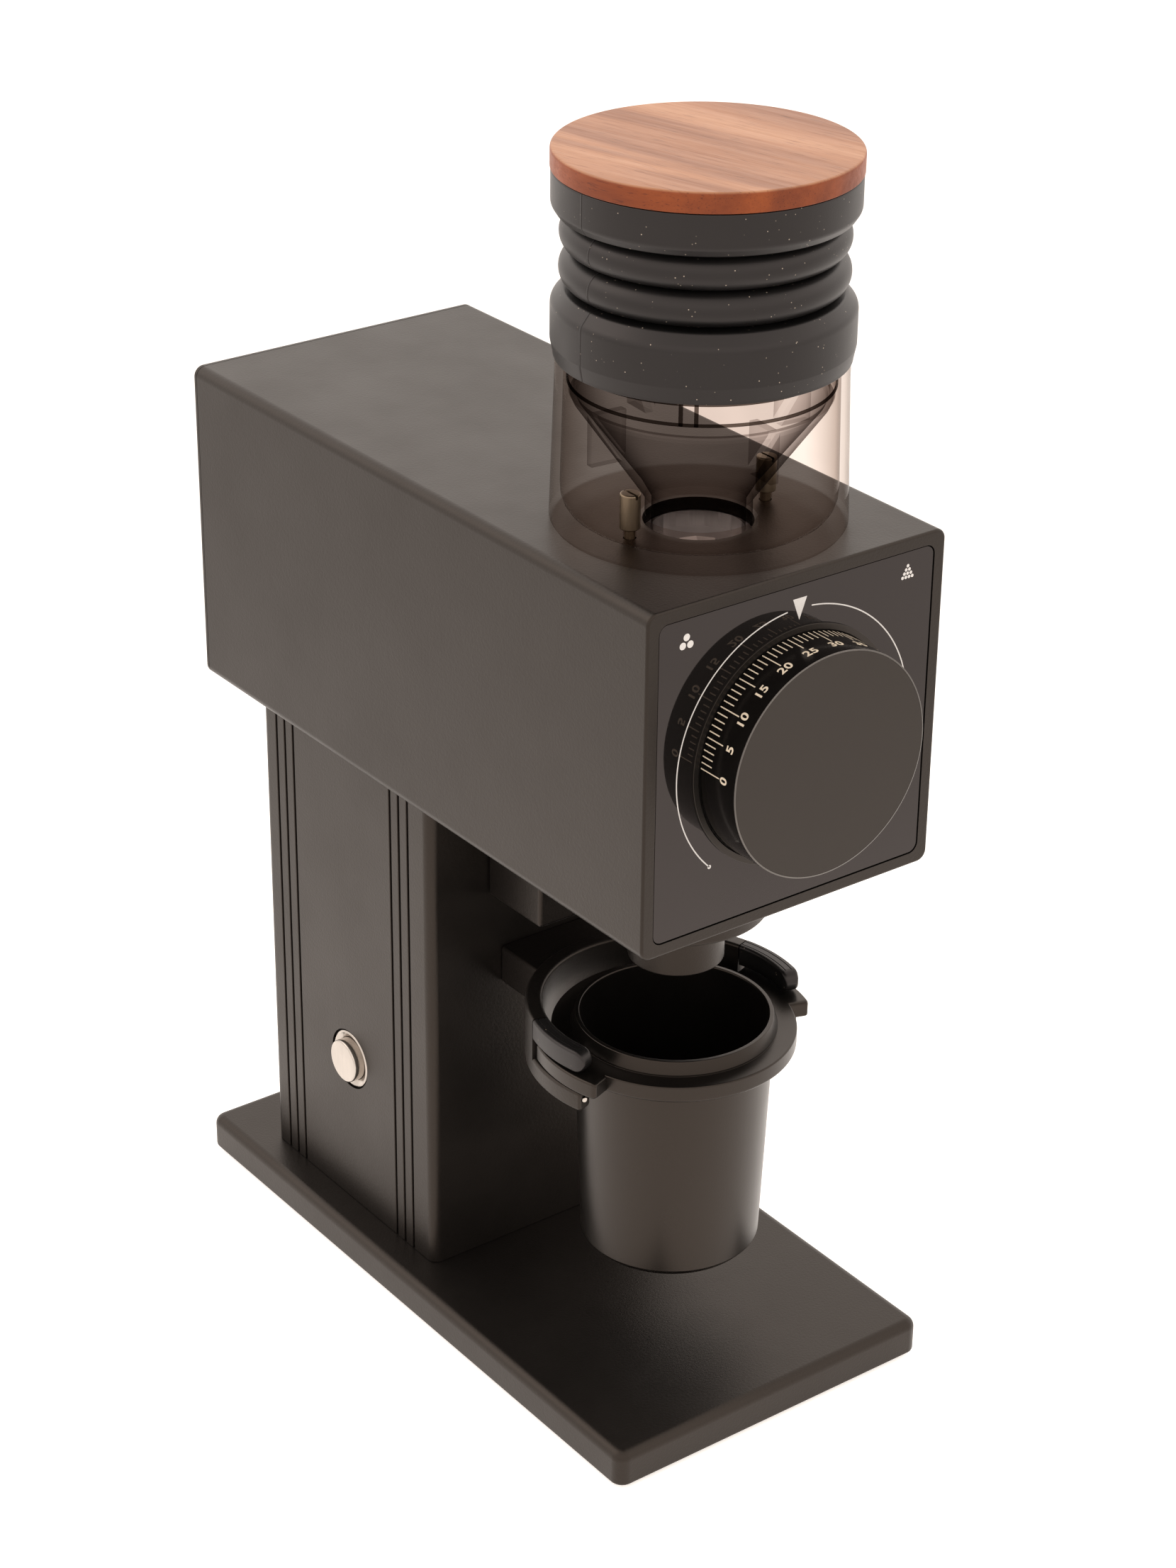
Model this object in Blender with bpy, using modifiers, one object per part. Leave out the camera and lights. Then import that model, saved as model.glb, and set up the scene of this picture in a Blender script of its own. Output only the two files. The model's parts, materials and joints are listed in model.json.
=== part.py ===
"""A countertop electric coffee grinder for single doses, modelled as its separate pieces.

The body is a square housing on a square column and a base plate. Beans go in the smoked hopper
under the bellows, pass conical burrs on a shaft along Y, and drop down the chute into a cup that
hangs in a fork. Lengths are in millimetres and turned into metres by MM. The frame has +Z up and
the front, with the dial, at -Y. The origin is on the surface the feet stand on, under the middle
of the grinder's box.
"""

import math

import bmesh
import bpy
from mathutils import Vector

MM = 0.001
GAP = 0.2  # clearance between pieces that rest on each other
ROUND = 32  # sides of a large round piece
SMALL_ROUND = 12  # sides of a small round piece

# Base plate and feet
FOOT_RADIUS, FOOT_SHOWN, FOOT_POCKET = 7.0, 1.5, 1.0
PLATE_SIZE = (112.8, 222.0, 11.3)
PLATE_Y = 5.5
PLATE_TOP = FOOT_SHOWN + PLATE_SIZE[2]

# Column: a square tube with grooves down both sides
COLUMN_SIZE = (91.6, 89.7)
COLUMN_Y = 47.65
COLUMN_CORNER, COLUMN_WALL = 3.2, 2.5
GROOVE_WIDTH, GROOVE_DEPTH = 1.0, 0.6
GROOVE_PLACES = (-33.95, -29.35, -24.85, 27.45, 32.05, 36.65)  # along Y, from the column's middle

# Housing: a square tube along Y
HOUSING_SIDE = 100.0
HOUSING_Y = (-102.65, 117.35)
HOUSING_BOTTOM = 170.3
AXIS_Z = HOUSING_BOTTOM + HOUSING_SIDE / 2  # height of the dial, burrs and drive shaft
HOUSING_TOP = HOUSING_BOTTOM + HOUSING_SIDE
HOUSING_CORNER, HOUSING_WALL = 3.2, 3.7
SCREW_PORT = 14.0  # radius of the thick inner corners that take the cover's screws
COVER_THICK = 1.5
PANEL_RECESS, PANEL_THICK, PANEL_CORNER = 0.2, 3.0, 3.0
PANEL_SIDE = HOUSING_SIDE - 2 * HOUSING_WALL

# Dial and the adjustment it turns
DIAL_RADIUS, DIAL_FRONT, DIAL_FOOT = 32.2, -117.35, -103.2
DIAL_HUB_RADIUS = 20.0
BEZEL_RADIUS, BEZEL_THICK = 34.3, 0.4
CARRIER_RADIUS, CARRIER_BORE = 27.7, 24.3
CARRIER_Y = (-95.0, -57.0)

# Hopper, bellows and lid, all on one upright axis
HOPPER_Y = -59.76
HOPPER_FOOT_RADIUS, HOPPER_NECK_RADIUS, HOPPER_WALL = 39.9, 38.5, 2.6
HOPPER_TOP, HOPPER_FLOOR = 326.0, 2.4
HOPPER_SCREW_X, HOPPER_SCREW_RADIUS, HOPPER_SCREW_TOP = 23.0, 2.8, 283.0  # two long-headed screws hold it
BELLOWS_WALL = 1.2
COLLAR_Z, FOLDS_Z, RIM_Z = (317.0, 333.0), (333.2, 355.6), (355.8, 366.6)
LID_RADIUS, LID_Z = 40.1, (366.7, 372.2)

# Cup, chute and fork, all over one upright axis
CUP_Y = -54.7
CHUTE_COLLAR_RADIUS, CHUTE_COLLAR_BOTTOM = 26.2, 151.4
CHUTE_RADIUS, CHUTE_BORE, CHUTE_BOTTOM = 13.8, 12.0, 134.7
FLANGE_Z = (106.4, 111.5)
FLANGE_RADIUS, LUG_RADIUS, LUG_ANGLE = 35.5, 41.5, 20.0
FORK_Y = -51.8  # centre of the fork's ring
FORK_RADII = (36.4, 41.3)
FORK_Z = (99.8, 118.8)
SLOT_Z = (105.9, 112.0)  # the slot that the cup's lugs slide in
SLOT_ANGLE = 17.5  # the slot starts this far behind the ring's middle
TIP_ANGLE = 12.0  # the upper tips end this far in front of it
LEDGE_ANGLE = 15.5  # and the lower ledges here
ARM_HALF_WIDTH, ARM_Z = 20.3, (104.5, 116.9)
PAD_THICK = 1.0

# Button on the left side of the column
BUTTON_Z = 64.3
BUTTON_BEZEL, BUTTON_BARREL, BUTTON_CAP = 9.2, 7.9, 6.85
BUTTON_SEAT = (9.8, 1.6)  # radius and depth of the recess its bezel lies in

# Burrs and drive train, on the shaft along Y
SHAFT_RADIUS = 4.0
BURR_Y = (-75.0, -57.5)
CHAMBER_Y = (-93.0, -38.0)
CHAMBER_HALF_WIDTH = 37.0
GEAR_MODULE, GEAR_TEETH, PINION_TEETH = 0.8, 42, 14
GEAR_Y = (-30.0, -20.0)
PLATE_FACE_Y = (-12.0, -7.0)
MOTOR_Z = AXIS_Z - GEAR_MODULE * (GEAR_TEETH + PINION_TEETH) / 2
MOTOR_RADIUS, MOTOR_LENGTH = 22.0, 66.0


# ---------------------------------------------------------------- scene and materials

def clear_scene():
    for thing in list(bpy.data.objects):
        bpy.data.objects.remove(thing, do_unlink=True)
    for name in ("coffee_grinder", "cutters"):
        collection = bpy.data.collections.new(name)
        bpy.context.scene.collection.children.link(collection)
    bpy.data.collections["cutters"].hide_render = True


def material(name, colour, roughness, metallic=0.0, alpha=1.0):
    made = bpy.data.materials.new(name)
    made.use_nodes = True
    shader = made.node_tree.nodes["Principled BSDF"]
    shader.inputs["Base Color"].default_value = (*colour, 1.0)
    shader.inputs["Roughness"].default_value = roughness
    shader.inputs["Metallic"].default_value = metallic
    shader.inputs["Alpha"].default_value = alpha
    return made


def palette():
    return {
        "powder_black": material("powder_black", (0.030, 0.028, 0.027), 0.55, 0.2),
        "gloss_black": material("gloss_black", (0.020, 0.019, 0.018), 0.12),
        "satin_dark": material("satin_dark", (0.045, 0.044, 0.043), 0.4, 0.5),
        "smoked": material("smoked", (0.06, 0.05, 0.045), 0.05, 0.0, 0.45),
        "silicone": material("silicone", (0.018, 0.018, 0.018), 0.6),
        "wood": material("wood", (0.22, 0.075, 0.04), 0.45),
        "steel": material("steel", (0.62, 0.61, 0.60), 0.25, 1.0),
        "brass": material("brass", (0.70, 0.50, 0.22), 0.3, 1.0),
        "aluminium": material("aluminium", (0.55, 0.55, 0.56), 0.4, 1.0),
        "board_green": material("board_green", (0.02, 0.13, 0.06), 0.5),
        "plastic_black": material("plastic_black", (0.02, 0.02, 0.02), 0.5),
    }


# ---------------------------------------------------------------- shape helpers

def millimetres(*values):
    return Vector(values) * MM


def place(name, mesh, look, origin=(0, 0, 0), rotation=(0, 0, 0), cutter=False):
    """An object in its collection. A cutter is only a helper, and isn't part of the grinder."""
    thing = bpy.data.objects.new(name, mesh)
    thing.location = millimetres(*origin)
    thing.rotation_euler = rotation
    bpy.data.collections["cutters" if cutter else "coffee_grinder"].objects.link(thing)
    if cutter:
        thing.hide_render = True
        thing.display_type = "WIRE"
    else:
        mesh.materials.append(look)
    return thing


def finished(name, bm):
    bmesh.ops.recalc_face_normals(bm, faces=bm.faces)
    mesh = bpy.data.meshes.new(name)
    bm.to_mesh(mesh)
    bm.free()
    mesh.shade_smooth()
    mesh.set_sharp_from_angle(angle=math.radians(30))
    return mesh


def box_mesh(name, low, high, edges=()):
    """A box between two corners. Each of edges is (test, radius, segments): the edges whose
    two ends both pass the test are rounded, one entry after another."""
    bm = bmesh.new()
    bmesh.ops.create_cube(bm, size=1.0)
    low, high = millimetres(*low), millimetres(*high)
    size = high - low
    bmesh.ops.scale(bm, vec=size, verts=bm.verts)
    bmesh.ops.translate(bm, vec=(low + high) / 2, verts=bm.verts)
    for test, radius, segments in edges:
        chosen = [e for e in bm.edges if test(e, low, high)]
        bmesh.ops.bevel(bm, geom=chosen, offset=radius * MM, segments=segments, profile=0.5, affect="EDGES")
    return finished(name, bm)


def runs_along(axis):
    """A test for the box edges that run along an axis."""
    def test(edge, _low, _high):
        along = (edge.verts[1].co - edge.verts[0].co).normalized()
        return abs(along[axis]) > 0.99
    return test


def lies_on(axis, high_side):
    """A test for the edges round one face of a box."""
    def test(edge, low, high):
        level = high[axis] if high_side else low[axis]
        at_level = all(abs(v.co[axis] - level) < 1e-6 for v in edge.verts)
        steep = any(abs(face.normal[axis]) < 0.5 for face in edge.link_faces)
        return at_level and steep
    return test


def arc(centre, radius, start, end, steps):
    """Points along an arc, with its angles in degrees."""
    angles = [math.radians(start + (end - start) * i / steps) for i in range(steps + 1)]
    return [(centre[0] + radius * math.cos(a), centre[1] + radius * math.sin(a)) for a in angles]


def rounded_rectangle(width, height, corner, steps=4):
    """The outline of a rectangle with round corners, about its middle."""
    x, y = width / 2 - corner, height / 2 - corner
    points = []
    for cx, cy, start in ((x, y, 0), (-x, y, 90), (-x, -y, 180), (x, -y, 270)):
        points += arc((cx, cy), corner, start, start + 90, steps)
    return points


def circle(centre, radius, sides=SMALL_ROUND):
    return arc(centre, radius, 0, 360, sides)[:-1]


def sheet_mesh(name, outlines, thickness):
    """A flat outline with its holes, made thick to both sides of the XY plane."""
    curve = bpy.data.curves.new(name, "CURVE")
    curve.dimensions = "2D"
    curve.fill_mode = "BOTH"
    curve.extrude = thickness / 2 * MM
    for outline in outlines:
        spline = curve.splines.new("POLY")
        spline.points.add(len(outline) - 1)
        for point, (x, y) in zip(spline.points, outline):
            point.co = (x * MM, y * MM, 0.0, 1.0)
        spline.use_cyclic_u = True
    drawn = bpy.data.objects.new(name, curve)
    bpy.context.scene.collection.objects.link(drawn)
    graph = bpy.context.evaluated_depsgraph_get()
    mesh = bpy.data.meshes.new_from_object(drawn.evaluated_get(graph))
    bpy.data.objects.remove(drawn, do_unlink=True)
    bm = bmesh.new()
    bm.from_mesh(mesh)
    bmesh.ops.remove_doubles(bm, verts=bm.verts, dist=1e-6)
    return finished(name, bm)


def turned(name, profile, look, origin, rotation=(0, 0, 0), sides=ROUND, closed=True, cutter=False):
    """A profile of (radius, height) points turned about the object's own Z. The profile runs down
    its outer side. A closed one is a ring, and one that isn't starts and ends on the axis."""
    mesh = bpy.data.meshes.new(name)
    points = [(r * MM, 0.0, z * MM) for r, z in profile]
    count = len(points)
    edges = [(i, i + 1) for i in range(count - 1)] + ([(count - 1, 0)] if closed else [])
    mesh.from_pydata(points, edges, [])
    thing = place(name, mesh, look, origin, rotation, cutter)
    screw = thing.modifiers.new("turn", "SCREW")
    screw.axis = "Z"
    screw.steps = screw.render_steps = sides
    screw.use_merge_vertices = True
    screw.merge_threshold = 1e-6
    screw.use_smooth_shade = True
    return thing


def ring_profile(outer, inner, low, high, chamfer=0.0):
    """A plain ring's section, with its outer edges chamfered."""
    c = chamfer
    outside = [(outer - c, high), (outer, high - c), (outer, low + c), (outer - c, low)]
    if c == 0:
        outside = [(outer, high), (outer, low)]
    return outside + [(inner, low), (inner, high)]


def disc_profile(outer, low, high, chamfer=0.0):
    return [(0, high)] + ring_profile(outer, 0, low, high, chamfer)[:-2] + [(0, low)]


def rod_cutter(name, centre, radius, length, direction=(0, 0, 1), sides=SMALL_ROUND):
    """A cylinder for cutting holes, centred on a point and lying along a direction."""
    bm = bmesh.new()
    bmesh.ops.create_cone(
        bm, cap_ends=True, segments=sides, radius1=radius * MM, radius2=radius * MM, depth=length * MM
    )
    turn = Vector((0, 0, 1)).rotation_difference(Vector(direction)).to_matrix().to_4x4()
    bmesh.ops.transform(bm, matrix=turn, verts=bm.verts)
    return place(name, finished(name, bm), None, centre, cutter=True)


def box_cutter(name, low, high, edges=()):
    return place(name, box_mesh(name, low, high, edges), None, cutter=True)


def boolean(thing, other, operation):
    step = thing.modifiers.new(operation.lower(), "BOOLEAN")
    step.operation = operation
    step.solver = "EXACT"
    step.object = other


def cut(thing, *others):
    for other in others:
        boolean(thing, other, "DIFFERENCE")


def join(thing, *others):
    for other in others:
        boolean(thing, other, "UNION")


def loft_mesh(name, sections):
    """A closed solid through sections of equally many points each, in millimetres, capped at both ends."""
    bm = bmesh.new()
    loops = [[bm.verts.new(millimetres(*point)) for point in section] for section in sections]
    count = len(loops[0])
    for one, two in zip(loops, loops[1:]):
        for i in range(count):
            bm.faces.new((one[i], one[(i + 1) % count], two[(i + 1) % count], two[i]))
    bm.faces.new(loops[0])
    bm.faces.new(loops[-1])
    return finished(name, bm)


def sector_mesh(name, centre_y, stations):
    """A bent bar round an upright axis at x 0. Each station is (angle, inner, outer, low, high)."""
    sections = []
    for angle, inner, outer, low, high in stations:
        c, s = math.cos(math.radians(angle)), math.sin(math.radians(angle))
        corners = ((inner, low), (outer, low), (outer, high), (inner, high))
        sections.append([(r * c, centre_y + r * s, z) for r, z in corners])
    return loft_mesh(name, sections)


def gear_outline(teeth, module, phase=0.0, backlash=0.12):
    """A spur gear's outline. A tooth is centred on the angle phase, and its flanks are straight."""
    pitch = teeth * module / 2
    root, tip = pitch - 1.25 * module, pitch + 0.95 * module
    half_at_pitch = (math.pi * module / 2 - backlash) / 2
    half_at_root, half_at_tip = half_at_pitch * 1.35, half_at_pitch * 0.5
    points = []
    for tooth in range(teeth):
        middle = phase + 2 * math.pi * tooth / teeth
        corners = ((root, -half_at_root), (tip, -half_at_tip), (tip, half_at_tip), (root, half_at_root))
        for radius, half in corners:
            angle = middle + half / radius
            points.append((radius * math.cos(angle), radius * math.sin(angle)))
    return points


FORWARD = (math.radians(90), 0, 0)  # turns an object's own +Z to the front, -Y
LEFTWARD = (0, math.radians(-90), 0)  # turns it to the left, -X
BACKWARD = (math.radians(-90), 0, 0)


# ---------------------------------------------------------------- base, column and housing

def base_and_feet(looks):
    width, length, _ = PLATE_SIZE
    low = (-width / 2, PLATE_Y - length / 2, FOOT_SHOWN)
    high = (width / 2, PLATE_Y + length / 2, PLATE_TOP)
    rounding = [(runs_along(2), 4.0, 4), (lies_on(2, True), 3.0, 3), (lies_on(2, False), 1.0, 1)]
    plate = place("base_plate", box_mesh("base_plate", low, high, rounding), looks["powder_black"])
    for end, y in (("front", low[1] + 14), ("rear", high[1] - 14)):
        for side, x in (("left", low[0] + 14), ("right", high[0] - 14)):
            centre = (x, y, FOOT_SHOWN)
            cut(plate, rod_cutter(f"pocket_{end}_{side}", centre, FOOT_RADIUS + 0.3, 2 * FOOT_POCKET))
            profile = disc_profile(FOOT_RADIUS, 0, FOOT_SHOWN + FOOT_POCKET - GAP, 0.4)
            turned(f"foot_{end}_{side}", profile, looks["silicone"], (x, y, 0), sides=SMALL_ROUND,
                   closed=False)
    base_screws(looks, plate)


def base_screws(looks, plate):
    """Four screws from below hold the column, which has a block for each in its corners."""
    head, shank, head_depth = 4.2, 2.4, 3.4
    for end, y in (("front", COLUMN_Y - 34), ("rear", COLUMN_Y + 34)):
        for side, x in (("left", -35), ("right", 35)):
            name = f"base_screw_{end}_{side}"
            recess = 2 * head_depth + 0.6
            cut(plate, rod_cutter(name + "_head_hole", (x, y, FOOT_SHOWN), head + 0.4, recess))
            cut(plate, rod_cutter(name + "_hole", (x, y, FOOT_SHOWN + 6), shank + 0.3, 20))
            profile = [(0, 19), (shank, 19), (shank, head_depth), (head, head_depth), (head, 0.3), (0, 0.3)]
            turned(name, profile, looks["steel"], (x, y, FOOT_SHOWN), sides=SMALL_ROUND, closed=False)


def grooved_outline():
    """The column's outline about its middle, with narrow grooves down both sides."""
    half_x, half_y = COLUMN_SIZE[0] / 2, COLUMN_SIZE[1] / 2
    x, y, r = half_x - COLUMN_CORNER, half_y - COLUMN_CORNER, COLUMN_CORNER
    right = []
    for place_y in GROOVE_PLACES:
        low, high = place_y - GROOVE_WIDTH / 2, place_y + GROOVE_WIDTH / 2
        inside = half_x - GROOVE_DEPTH
        right += [(half_x, low), (inside, low), (inside, high), (half_x, high)]
    left = [(-px, py) for px, py in reversed(right)]
    return (
        arc((x, -y), r, 270, 360, 3) + right + arc((x, y), r, 0, 90, 3)
        + arc((-x, y), r, 90, 180, 3) + left + arc((-x, -y), r, 180, 270, 3)
    )


def column(looks):
    bottom, top = PLATE_TOP + GAP, HOUSING_BOTTOM - GAP
    height = top - bottom
    inside = rounded_rectangle(
        COLUMN_SIZE[0] - 2 * COLUMN_WALL, COLUMN_SIZE[1] - 2 * COLUMN_WALL, COLUMN_CORNER, 2
    )
    mesh = sheet_mesh("column", [grooved_outline(), inside], height)
    tube = place("column", mesh, looks["powder_black"], (0, COLUMN_Y, (bottom + top) / 2))
    half_inside = COLUMN_SIZE[0] / 2 - COLUMN_WALL
    half_length = COLUMN_SIZE[1] / 2 - COLUMN_WALL
    for end in (-1, 1):
        for side in (-1, 1):
            x, y = side * 35, COLUMN_Y + end * 34
            edge_x, edge_y = side * (half_inside + 1), COLUMN_Y + end * (half_length + 1)
            low = (min(x - side * 6, edge_x), min(y - end * 6, edge_y), bottom)
            high = (max(x - side * 6, edge_x), max(y - end * 6, edge_y), bottom + 14)
            join(tube, box_cutter(f"column_block_{end}_{side}", low, high))
            cut(tube, rod_cutter(f"column_thread_{end}_{side}", (x, y, bottom), 2.5, 20))
    spot = (-COLUMN_SIZE[0] / 2, COLUMN_Y, BUTTON_Z)
    cut(tube, rod_cutter("button_seat", spot, BUTTON_SEAT[0], 2 * BUTTON_SEAT[1], (1, 0, 0), 24))
    cut(tube, rod_cutter("button_hole", spot, BUTTON_BARREL + 0.2, 12, (1, 0, 0), 24))
    rear = COLUMN_Y + COLUMN_SIZE[1] / 2
    cut(tube, box_cutter("inlet_hole", (-14.2, rear - 8, 34.8), (14.2, rear + 8, 55.2)))
    return tube


def housing(looks):
    front, rear = HOUSING_Y[0], HOUSING_Y[1] - COVER_THICK - GAP
    half = HOUSING_SIDE / 2
    rounding = [(runs_along(1), HOUSING_CORNER, 4), (lies_on(1, False), 2.5, 3)]
    mesh = box_mesh("housing", (-half, front, HOUSING_BOTTOM), (half, rear, HOUSING_TOP), rounding)
    shell = place("housing", mesh, looks["powder_black"])
    middle = (front + rear) / 2
    inside = rounded_rectangle(PANEL_SIDE, PANEL_SIDE, SCREW_PORT, 4)
    through = sheet_mesh("housing_inside", [inside], rear - front + 20)
    cut(shell, place("housing_inside", through, None, (0, middle, AXIS_Z), FORWARD, cutter=True))
    seat_depth = PANEL_RECESS + PANEL_THICK + GAP
    outline = rounded_rectangle(PANEL_SIDE, PANEL_SIDE, PANEL_CORNER, 3)
    seat = sheet_mesh("panel_seat", [outline], 2 * seat_depth)
    cut(shell, place("panel_seat", seat, None, (0, front, AXIS_Z), FORWARD, cutter=True))
    cut(shell, rod_cutter("throat_hole", (0, HOPPER_Y, HOUSING_TOP), 15.0, 20, sides=24))
    cut(shell, rod_cutter("chute_hole", (0, CUP_Y, HOUSING_BOTTOM), CHUTE_RADIUS + 0.4, 20, sides=24))
    for x in (-HOPPER_SCREW_X, HOPPER_SCREW_X):
        cut(shell, rod_cutter(f"hopper_thread_{x}", (x, HOPPER_Y, HOUSING_TOP), 1.8, 20))
    cut(shell, rod_cutter("wire_hole", (0, COLUMN_Y, HOUSING_BOTTOM), 12.0, 20))
    panel(looks)
    rear_cover(looks, shell)


def panel(looks):
    side = PANEL_SIDE - 0.6
    hole = circle((0, 0), BEZEL_RADIUS - 1.0, ROUND)
    outlines = [rounded_rectangle(side, side, PANEL_CORNER - 0.3, 3), hole]
    mesh = sheet_mesh("front_panel", outlines, PANEL_THICK)
    y = HOUSING_Y[0] + PANEL_RECESS + PANEL_THICK / 2
    place("front_panel", mesh, looks["gloss_black"], (0, y, AXIS_Z), FORWARD)


def rear_cover(looks, shell):
    rear = HOUSING_Y[1]
    half = HOUSING_SIDE / 2
    low, high = (-half, rear - COVER_THICK, HOUSING_BOTTOM), (half, rear, HOUSING_TOP)
    rounding = [(runs_along(1), HOUSING_CORNER, 4), (lies_on(1, True), 0.5, 1)]
    mesh = box_mesh("rear_cover", low, high, rounding)
    cover = place("rear_cover", mesh, looks["powder_black"])
    offset = half - 6.0
    for height, z in (("lower", AXIS_Z - offset), ("upper", AXIS_Z + offset)):
        for side, x in (("left", -offset), ("right", offset)):
            name = f"rear_screw_{height}_{side}"
            cut(cover, rod_cutter(name + "_seat", (x, rear, z), 2.9, 6, (0, 1, 0)))
            cut(shell, rod_cutter(name + "_hole", (x, rear, z), 1.4, 28, (0, 1, 0), 12))
            profile = [(0, -0.2), (2.5, -0.2), (2.5, -1.3), (1.2, -1.3), (1.2, -11), (0, -11)]
            turned(name, profile, looks["steel"], (x, rear, z), BACKWARD, sides=12, closed=False)


# ---------------------------------------------------------------- hopper, bellows and lid

def hopper(looks):
    foot, neck, wall = HOPPER_FOOT_RADIUS, HOPPER_NECK_RADIUS, HOPPER_WALL
    base = HOUSING_TOP + GAP
    floor = base + HOPPER_FLOOR
    profile = [
        (neck - 0.6, HOPPER_TOP), (neck, HOPPER_TOP - 0.6), (38.7, 311.0), (foot, base + 1.2),
        (foot - 0.8, base), (16.0, base), (16.0, floor), (foot - wall - 6, floor),
        (foot - wall - 1.8, floor + 1.8), (foot - wall, floor + 5.6), (neck - wall, HOPPER_TOP),
    ]
    body = turned("hopper", profile, looks["smoked"], (0, HOPPER_Y, 0))
    for name, x in (("left", -HOPPER_SCREW_X), ("right", HOPPER_SCREW_X)):
        cut(body, rod_cutter(f"hopper_hole_{name}", (x, HOPPER_Y, base), 1.8, 20))
        low, shank, end = floor + GAP, 1.5, HOUSING_TOP - HOUSING_WALL + 0.4
        radius, high = HOPPER_SCREW_RADIUS, HOPPER_SCREW_TOP
        screw = [(0, high), (radius, high), (radius, low), (shank, low), (shank, end), (0, end)]
        turned(f"hopper_screw_{name}", screw, looks["brass"], (x, HOPPER_Y, 0), sides=SMALL_ROUND,
               closed=False)
    funnel(looks, base)


def funnel(looks, base):
    """The insert that leads the beans from the hopper's wall down to its throat. It is one moulding,
    made as its ring, its cone and its spout, because each of those is a simple shape to collide with."""
    outer = HOPPER_NECK_RADIUS - HOPPER_WALL - 0.5
    ring_low, ring_high, spout_high = 305.0, 316.0, base + 6.2
    ring = ring_profile(outer, outer - 2.0, ring_low, ring_high, 0.4)
    turned("funnel_ring", ring, looks["smoked"], (0, HOPPER_Y, 0))
    cone = [
        (outer - 0.4, ring_low - GAP), (outer - 1.0, 303.0), (17.0, base + 10), (14.4, spout_high),
        (12.6, spout_high), (15.6, base + 11.4), (outer - 3.0, ring_low - GAP),
    ]
    turned("funnel_cone", cone, looks["smoked"], (0, HOPPER_Y, 0))
    spout = ring_profile(14.4, 12.6, base - 3.0, spout_high - GAP)
    turned("funnel_spout", spout, looks["smoked"], (0, HOPPER_Y, 0), sides=24)


def bellows(looks):
    """The silicone bellows is one moulding. It is made as a stiff collar, the folds that give,
    and the rim that holds the lid, because only the folds change shape."""
    grip = HOPPER_NECK_RADIUS + 0.5
    low, high = COLLAR_Z
    collar = [
        (36.1, high), (37.3, 332.6), (39.0, 331.8), (39.9, 329.5), (39.9, 321.0), (39.2, 318.2),
        (grip + 0.1, low), (grip, low), (grip, HOPPER_TOP + 0.4), (34.9, HOPPER_TOP + 1.6), (34.9, high),
    ]
    turned("bellows_collar", collar, looks["silicone"], (0, HOPPER_Y, 0))
    low, high = FOLDS_Z
    outside = [
        (36.4, high), (36.0, 353.4), (37.4, 349.8), (35.6, 344.9), (37.6, 340.3), (36.0, 335.2),
        (36.1, low),
    ]
    inside = [(r - BELLOWS_WALL, z) for r, z in reversed(outside)]
    turned("bellows_folds", outside + inside, looks["silicone"], (0, HOPPER_Y, 0))
    low, high = RIM_Z
    rim = [
        (0, high), (39.4, high), (39.9, high - 0.6), (39.9, 358.0), (39.1, low), (34.8, low), (34.8, 361.0),
        (0, 361.0),
    ]
    turned("bellows_rim", rim, looks["silicone"], (0, HOPPER_Y, 0), closed=False)
    turned("lid", disc_profile(LID_RADIUS, *LID_Z, 0.7), looks["wood"], (0, HOPPER_Y, 0), closed=False)


# ---------------------------------------------------------------- chute, fork and cup

def chute(looks):
    low, high = CHUTE_COLLAR_BOTTOM, HOUSING_BOTTOM - GAP
    profile = ring_profile(CHUTE_COLLAR_RADIUS, CHUTE_RADIUS + 0.3, low, high)
    profile[1:2] = [(CHUTE_COLLAR_RADIUS, low + 0.6), (CHUTE_COLLAR_RADIUS - 0.6, low)]
    turned("chute_collar", profile, looks["powder_black"], (0, CUP_Y, 0))
    tube = ring_profile(CHUTE_RADIUS, CHUTE_BORE, CHUTE_BOTTOM, HOUSING_BOTTOM + HOUSING_WALL - 0.5, 0.3)
    turned("chute_tube", tube, looks["powder_black"], (0, CUP_Y, 0), sides=24)


def neck_block(looks):
    """The block that joins the housing's underside to the column's front."""
    low = (-25.0, -23.1, 136.0)
    high = (25.0, COLUMN_Y - COLUMN_SIZE[1] / 2 - GAP, HOUSING_BOTTOM - GAP)
    mesh = box_mesh("housing_bracket", low, high, [(runs_along(2), 1.2, 2), (lies_on(2, False), 1.0, 1)])
    place("housing_bracket", mesh, looks["powder_black"])


def mirrored_angles(stations, side):
    """The stations of a bent bar on the right, side 1, or its mirror image on the left, side -1."""
    if side > 0:
        return stations
    return [(180 - angle, *rest) for angle, *rest in stations]


def spaced(start, end, steps):
    return [start + (end - start) * i / steps for i in range(steps + 1)]


def rounded_tip(inner, outer, low, high, start, end, steps=5):
    """Stations of a bar's end, whose height dies away in a half circle from start to end."""
    middle, half = (low + high) / 2, (high - low) / 2
    stations = []
    for i in range(1, steps + 1):
        share = math.sin(math.radians(84.0) * i / steps)
        rise = half * math.sqrt(1 - share ** 2)
        stations.append((start + (end - start) * share, inner, outer, middle - rise, middle + rise))
    return stations


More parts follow.
